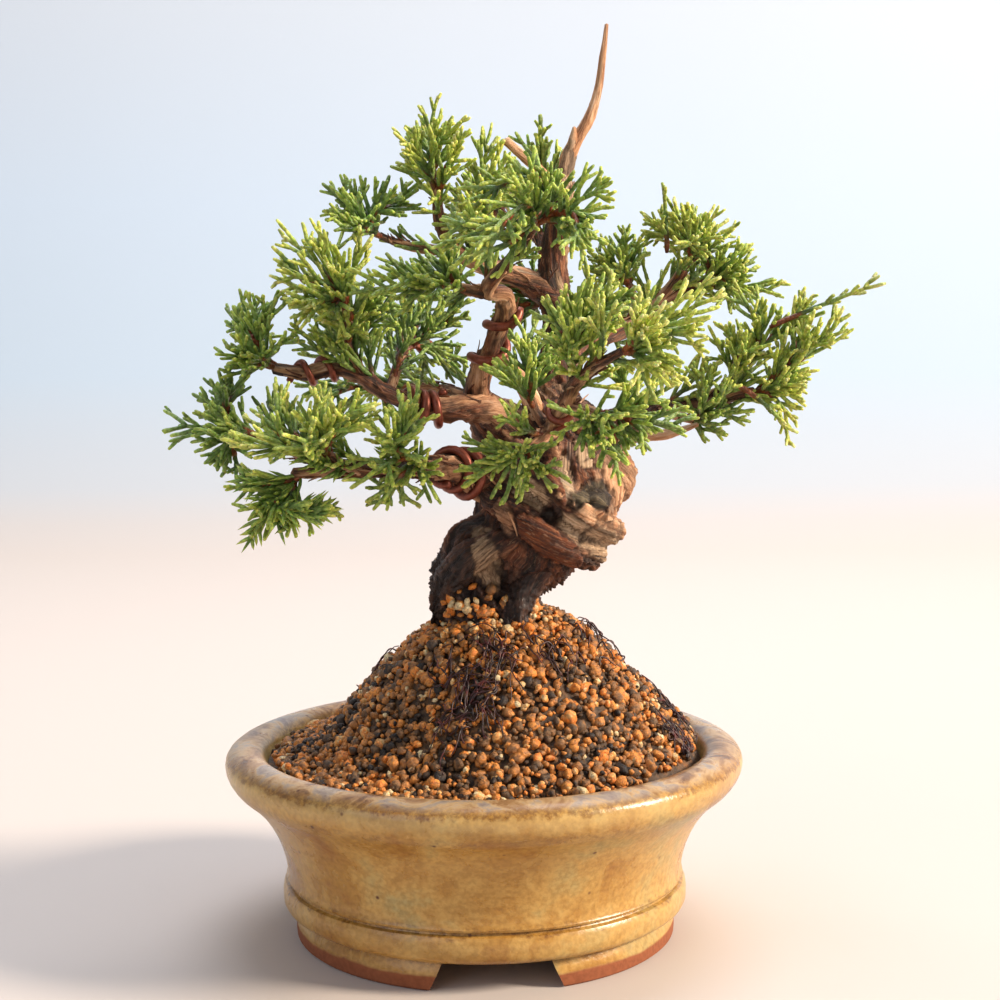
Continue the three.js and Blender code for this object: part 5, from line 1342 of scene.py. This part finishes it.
def side_shoot(parent, share, turn, angle, reach, lift, radius, ages, pattern, draw):
    """A shoot that leaves its parent at an angle and bends on towards the parent's tip."""
    way = parent.way(share)
    out = unit(way * math.cos(angle) + around(way, turn) * math.sin(angle) + np.array([0, 0, lift]))
    bend = (way * draw.uniform(0.05, 0.3) + np.array([draw.gauss(0, 0.07) for _ in range(3)])) * reach
    return Shoot(parent.at(share), out * reach, bend, radius, ages, pattern)


# What side shoots and the short forks on them are drawn from: angles in degrees, lengths in millimetres.
PAIR_TURN = (70, 110)
SHOOT_ANGLE = (28, 54)
SHOOT_LENGTH = (3.8, 10.5)
SLENDER_LENGTH = (1.6, 4.2)
FORK_ANGLE = (28, 46)
FORK_LENGTH = (1.6, 4.6)
SHORTEST_FORKED = 3.2
MISSING = 0.12  # the share of shoots that didn't grow


def sprout(shoots, parent, length, spacing, first, youth, radius, draw, slender=False):
    """Shoots along a branchlet in opposite pairs, each pair turned from the last, with short forks on them."""
    at = length * first
    turn = draw.uniform(0, 2 * math.pi)
    while at < length * 0.98:
        share = at / length
        turn += math.radians(draw.uniform(*PAIR_TURN))
        for half_turn in (0, math.pi):
            if draw.random() < MISSING:
                continue
            angle = math.radians(draw.uniform(*SHOOT_ANGLE) - 10 * share)
            reach = min(draw.uniform(*SHOOT_LENGTH), (1 - share) * length * 0.9 + draw.uniform(1.5, 4.0))
            if slender:
                reach = min(reach, draw.uniform(*SLENDER_LENGTH))
            young = 0.42 + (0.24 + 0.3 * share) * youth * draw.uniform(0.5, 1.3)
            child = side_shoot(parent, min(share + draw.uniform(0, 0.3) / length, 1), turn + half_turn, angle, reach,
                               draw.uniform(-0.06, 0.3), radius * draw.uniform(0.9, 1.08),
                               (0.25 + 0.3 * youth * (0.4 + share), young + 0.12), "cord", draw)
            shoots.append(child)
            fork = draw.uniform(0.3, 0.75)
            fork_turn = draw.uniform(0, 2 * math.pi)
            while fork < 0.9 and reach > SHORTEST_FORKED:
                nub = min(draw.uniform(*FORK_LENGTH), (1 - fork) * reach + 1.0)
                shoots.append(side_shoot(child, fork, fork_turn, math.radians(draw.uniform(*FORK_ANGLE)), nub,
                                         draw.uniform(0, 0.2), radius * draw.uniform(0.84, 0.98),
                                         (0.3 + 0.3 * youth * (0.4 + fork), young + 0.16), "nub", draw))
                fork += draw.uniform(0.22, 0.6)
                fork_turn += math.radians(draw.uniform(120, 200))
        at += spacing * draw.uniform(1.2, 2.2)


# Juvenile leaves stand in threes: their angle, length and radius, the turn from one to the next in radians,
# and how far the next three are on and turned.
NEEDLE_ANGLE = (32, 55)
NEEDLE_LENGTH = (3.6, 6.0)
NEEDLE_RADIUS = 0.45
NEEDLE_TURN = 2.1
WHORL_SPACING = 1.35
WHORL_TURN = 1.05


def needle_whorls(shoots, parent, length, draw):
    """Threes of pointed leaves along a branchlet."""
    at = length * 0.08
    turn = 0.0
    while at < length:
        share = at / length
        for k in range(3):
            reach = draw.uniform(*NEEDLE_LENGTH) * (1.1 - 0.45 * share)
            angle = math.radians(draw.uniform(*NEEDLE_ANGLE))
            shoots.append(side_shoot(parent, share, turn + NEEDLE_TURN * k, angle, reach, 0.0, NEEDLE_RADIUS,
                                     (0.32, 0.72), "needle", draw))
        turn += WHORL_TURN
        at += WHORL_SPACING


def branchlet(root, out, tip, radius, youth):
    """A branchlet that sets out one way and bends to its tip; its foot is woody."""
    reach = np.linalg.norm(tip - root)
    corner = root + (tip - root) * 0.35 + out * reach * 0.2
    return Shoot(root, 2 * (corner - root), root - 2 * corner + tip, radius, (0.0, 0.5 + 0.42 * youth), "stem")


def grown_branchlets(rows, tips, radius, youth):
    """A branchlet to each tip, from where the twig or an earlier branchlet is near and at a fair angle."""
    places, ways = list(rows[:, :3]), list(unit(np.gradient(rows[:, :3], axis=0)))
    made = []
    for tip in tips:
        gaps = tip - np.array(places)
        reach = np.linalg.norm(gaps, axis=1)
        angle = np.degrees(np.arccos(np.clip((gaps * np.array(ways)).sum(1) / reach, -1, 1)))
        best = int(np.argmin(reach + 4 * np.maximum(6 - reach, 0) + 0.3 * np.abs(angle - 32)))
        made.append(branchlet(places[best], ways[best], tip, radius, youth))
        for share in (0.15, 0.3, 0.45, 0.6):
            places.append(made[-1].at(share))
            ways.append(made[-1].way(share))
    return made


# How near branchlets come to a spray's outline, as a share of the way from its twig's end: the longest one,
# the others, and those between two others. Then how many stand close round the twig, and their length.
LONGEST_SHARE = 0.92
OTHER_SHARE = (0.7, 0.86)
BETWEEN_SHARE = (0.6, 0.98)
ON_TWIG = 6
ON_TWIG_LENGTH = (8, 12.5)


def spray_tips(rows, outline, full, draw_in, draw):
    """Where a spray's branchlets end: inside its outline, between those ends, and close round the twig."""
    end = rows[-1, :3]
    reach = [np.linalg.norm(np.array(tip) - end) for tip in outline]
    tips = [end + (np.array(tip) - end) * (LONGEST_SHARE if r == max(reach) else draw.uniform(*OTHER_SHARE)) * draw_in
            for tip, r in zip(outline, reach)]
    for tip in list(tips):
        nearest = min((other for other in tips if other is not tip), key=lambda other: np.linalg.norm(other - tip))
        between = end + ((tip + nearest) / 2 - end) * draw.uniform(*BETWEEN_SHARE)
        if draw.random() < full:
            tips.append(between + np.array([draw.gauss(0, 2.5) for _ in range(3)]))
    lean = unit(np.mean(outline, axis=0) - end)
    ways = unit(np.gradient(rows[:, :3], axis=0))
    turn = draw.uniform(0, 2 * math.pi)
    for at in np.linspace(len(rows) - 2, len(rows) * 0.12, ON_TWIG).astype(int)[:round(ON_TWIG * full)]:
        turn += math.radians(draw.uniform(110, 160))
        out = unit(around(ways[at], turn) + ways[at] * 0.4 + lean * 0.5 + np.array([0, 0, 0.7]))
        tips.append(rows[at, :3] + out * draw.uniform(*ON_TWIG_LENGTH))
    return sorted(tips, key=lambda tip: -float((tip - end).dot(ways[-1])))


def grow_spray(name, draw, radius, spacing):
    """All the cords of one spray: its branchlets and their shoots."""
    twig, youth, outline = SPRAYS[name]
    rows = follow(LIMBS[twig], 8)
    along = length_along(rows[:, :3])
    rows = rows[along > along[-1] - SPRAY_FOOT]
    tips = spray_tips(rows, outline, FULLNESS.get(name, 1.0), DRAWN_IN.get(name, 1.0), draw)
    shoots = []
    for k, parent in enumerate(grown_branchlets(rows, tips, radius, youth)):
        shoots.append(parent)
        length = np.linalg.norm(parent.straight + parent.bend)
        if name in JUVENILE:
            needle_whorls(shoots, parent, length, draw)
        if name not in JUVENILE or k % 2:
            sprout(shoots, parent, length, spacing * (2 if name in JUVENILE else 1), 0.2, youth, radius, draw)
    young = min(youth * 1.3, 1)
    for spray, root, way, tip in STRAYS:
        if spray == name:
            parent = branchlet(np.array(root, float), unit(np.array(way, float)), np.array(tip, float), radius, young)
            shoots.append(parent)
            sprout(shoots, parent, np.linalg.norm(parent.straight + parent.bend), spacing * 1.3, 0.25, young,
                   radius, draw, slender=True)
    return shoots


def placed_cords(pattern, shoots):
    """The pattern's copies along their cords, with their ages."""
    roots, straights, bends = (np.array([getattr(s, key) for s in shoots]) for key in ("root", "straight", "bend"))
    radii = np.array([s.radius for s in shoots])
    ages = np.array([s.ages for s in shoots])
    chord = unit(straights + bends)
    reference = np.where(np.abs(chord[:, 2:3]) < 0.9, [[0.0, 0.0, 1.0]], [[1.0, 0.0, 0.0]])
    side = unit(np.cross(chord, reference))
    across = np.cross(chord, side)
    x, y, z = pattern.points.T
    placed = (roots[:, None] + straights[:, None] * z[None, :, None] + bends[:, None] * (z**2)[None, :, None]
              + side[:, None] * (radii[:, None] * x)[..., None] + across[:, None] * (radii[:, None] * y)[..., None])
    age = ages[:, :1] + (ages[:, 1:] - ages[:, :1]) * np.clip(z, 0, 1)[None, :] ** 1.3
    return placed, age


class BONSAI_OT_foliage(bpy.types.Operator):
    """Grows every spray of scale-leaved shoots on its twig"""

    bl_idname = "bonsai.foliage"
    bl_label = "Foliage"

    def execute(self, context):
        settings = context.scene.bonsai_foliage
        clear_selection()
        material = scale_leaves(settings)
        shapes = random.Random(3)
        patterns = {"stem": cord_pattern(shapes, 15, 0.6), "cord": cord_pattern(shapes, 8),
                    "nub": cord_pattern(shapes, 5), "needle": needle_pattern()}
        for number, name in enumerate(SPRAYS):
            draw = random.Random(100 + number)
            shoots = grow_spray(name, draw, settings.thickness / MM * 0.5, settings.spacing / MM)
            batches = []
            for kind, pattern in patterns.items():
                chosen = [shoot for shoot in shoots if shoot.pattern == kind]
                if chosen:
                    placed, age = placed_cords(pattern, chosen)
                    tone = np.array([draw.random() for _ in chosen])[:, None]
                    batches.append((pattern, placed, {"age": age, "tone": tone}))
            spray = mesh_of_copies("foliage_" + name, batches)
            finish_piece(spray, "foliage_" + name, material, ["spray_" + name])
        return {"FINISHED"}


# ------------------------------------------------------------------ stage


class BONSAI_OT_stage(bpy.types.Operator):
    """Sets the pale floor and backdrop, the lights and the camera"""

    bl_idname = "bonsai.stage"
    bl_label = "Stage"

    # The sweep in metres: how wide its floor is, how far back it reaches, how high it rises, how softly it bends.
    FLOOR_SIZE = 6
    FLOOR_FORWARD = 1.1
    BACKDROP_HEIGHT = 4
    BEND = 1.2
    # Where the camera stands from the pot's foot, in metres, and how it is turned, in radians.
    CAMERA_PLACE = (0, -0.4, 0.13996)
    PITCH, ROLL, YAW = 0.098, -0.006, 0.010

    def execute(self, context):
        settings = context.scene.bonsai_stage
        clear_selection()
        self.sweep()
        world = bpy.data.worlds.new("soft_daylight")
        world.use_nodes = True
        set_inputs(world.node_tree.nodes["Background"], {"Color": "E2EAF4", "Strength": settings.sky_strength})
        context.scene.world = world
        context.scene.view_settings.view_transform = "Standard"
        # A warm key, 2.5 m to the right and 1.4 m up, weak cool fills, and one lamp for the backdrop.
        tree = (0, 0, 0.1)
        for name, place, target, size, power, colour in (
                ("key", (2.5, -0.6, 1.37), tree, 0.74, settings.key_power, "FFEEDA"),
                ("fill", (-0.8, -0.9, 0.6), tree, 1.0, settings.key_power * 0.022, "EEF2FF"),
                ("top", (0.1, 0.3, 1.1), tree, 0.8, settings.key_power * 0.05, "F4F6FF"),
                ("backdrop", (0, 0.3, 1.6), (0, 1.9, 0.3), 1.0, settings.backdrop_power, "EEF2FF")):
            data = bpy.data.lights.new(name, "AREA")
            data.shape = "DISK"
            data.size = size
            data.energy = power
            data.color = linear(colour)[:3]
            lamp = add_object(name, data)
            lamp.location = Vector(place) + Vector(POT_AXIS)
            lamp.rotation_euler = (Vector(target) - Vector(place)).to_track_quat("-Z", "Y").to_euler()
        self.camera(settings)
        return {"FINISHED"}

    def sweep(self):
        """A floor that runs up into a backdrop."""
        bpy.ops.mesh.primitive_plane_add(size=self.FLOOR_SIZE, location=(0, 0, 0))
        sweep = bpy.context.object
        bpy.ops.object.mode_set(mode="EDIT")
        bpy.ops.mesh.select_mode(type="EDGE")
        bpy.ops.mesh.select_all(action="DESELECT")
        mesh = bmesh.from_edit_mesh(sweep.data)
        for edge in mesh.edges:
            edge.select_set(all(v.co.y > self.FLOOR_SIZE / 2 - 0.1 for v in edge.verts))
        bmesh.update_edit_mesh(sweep.data)
        bpy.ops.mesh.extrude_region_move(TRANSFORM_OT_translate={"value": (0, 0, self.BACKDROP_HEIGHT)})
        bpy.ops.object.mode_set(mode="OBJECT")
        sweep.data.transform(Matrix.Translation((0, -self.FLOOR_FORWARD, 0)))
        apply_modifier(sweep, "BEVEL", width=self.BEND, segments=16, limit_method="ANGLE")
        bpy.ops.object.shade_smooth()
        # Matt paper. Its colour is painted light: a little warm on the floor and cooler and paler up the backdrop, as
        # the light falls there.
        material, add = new_material("matt_paper_sweep")
        height = add("SeparateXYZ", [add("TexCoord", output="Object")], "Z")
        colour = add("ValToRGB", [add("MapRange", [height, 0.0, 1.1])], ramp=[
            (0.0, "CAC1BA"), (0.02, "C0C4C8"), (0.09, "BCCAD6"), (0.25, "C4D2E0"), (1.0, "E4E4E8")])
        sweep.data.materials.append(finish_material(material, {
            "Base Color": colour, "Roughness": 0.9, "Specular IOR Level": 0.1}))
        sweep.name = "paper_sweep"

    def camera(self, settings):
        """The photograph's place and angle: 0.4 m in front, 0.14 m up, looking a little down."""
        ahead = Vector((math.sin(self.YAW) * math.cos(self.PITCH), math.cos(self.YAW) * math.cos(self.PITCH),
                        -math.sin(self.PITCH)))
        right = ahead.cross(Vector((0, 0, 1))).normalized()
        up = right.cross(ahead)
        turned_right = right * math.cos(self.ROLL) + up * math.sin(self.ROLL)
        turned_up = up * math.cos(self.ROLL) - right * math.sin(self.ROLL)
        data = bpy.data.cameras.new("camera")
        data.lens = settings.lens
        data.sensor_width = 36
        data.clip_start, data.clip_end = 0.01, 20
        camera = add_object("camera", data)
        rotation = Matrix((turned_right, turned_up, -ahead)).transposed()
        camera.matrix_world = Matrix.Translation(Vector(POT_AXIS) + Vector(self.CAMERA_PLACE)) @ rotation.to_4x4()
        bpy.context.scene.camera = camera


# ------------------------------------------------------------------ panel and running


class BONSAI_PT_panel(bpy.types.Panel):
    """Lists the pieces of the bonsai"""

    bl_idname = "BONSAI_PT_panel"
    bl_label = "Bonsai"
    bl_space_type = "VIEW_3D"
    bl_region_type = "UI"
    bl_category = "Bonsai"

    def draw(self, context):
        for settings, operators in PIECES:
            box = self.layout.box()
            if settings:
                group = getattr(context.scene, settings)
                for name in group.bl_rna.properties.keys():
                    if name not in {"rna_type", "name"}:
                        box.prop(group, name)
            for operator in operators:
                box.operator(operator)


PIECES = [
    ("bonsai_pot", ["bonsai.pot", "bonsai.screen"]),
    ("bonsai_soil", ["bonsai.soil", "bonsai.roots"]),
    ("bonsai_wood", ["bonsai.wood"]),
    ("bonsai_wire", ["bonsai.wires"]),
    ("bonsai_foliage", ["bonsai.foliage"]),
    ("bonsai_stage", ["bonsai.stage"]),
]
SETTINGS = {
    "bonsai_pot": BonsaiPotSettings,
    "bonsai_soil": BonsaiSoilSettings,
    "bonsai_wood": BonsaiWoodSettings,
    "bonsai_foliage": BonsaiFoliageSettings,
    "bonsai_wire": BonsaiWireSettings,
    "bonsai_stage": BonsaiStageSettings,
}
CLASSES = [*SETTINGS.values(), BONSAI_OT_pot, BONSAI_OT_screen, BONSAI_OT_soil, BONSAI_OT_roots, BONSAI_OT_wood,
           BONSAI_OT_wires, BONSAI_OT_foliage, BONSAI_OT_stage, BONSAI_PT_panel]


def register():
    for made in CLASSES:
        bpy.utils.register_class(made)
    for name, group in SETTINGS.items():
        setattr(bpy.types.Scene, name, PointerProperty(type=group))


def unregister():
    for name in SETTINGS:
        delattr(bpy.types.Scene, name)
    for made in reversed(CLASSES):
        bpy.utils.unregister_class(made)


def main():
    register()
    for _, operators in PIECES:
        for operator in operators:
            group, name = operator.split(".")
            getattr(getattr(bpy.ops, group), name)()


if __name__ == "__main__":
    main()
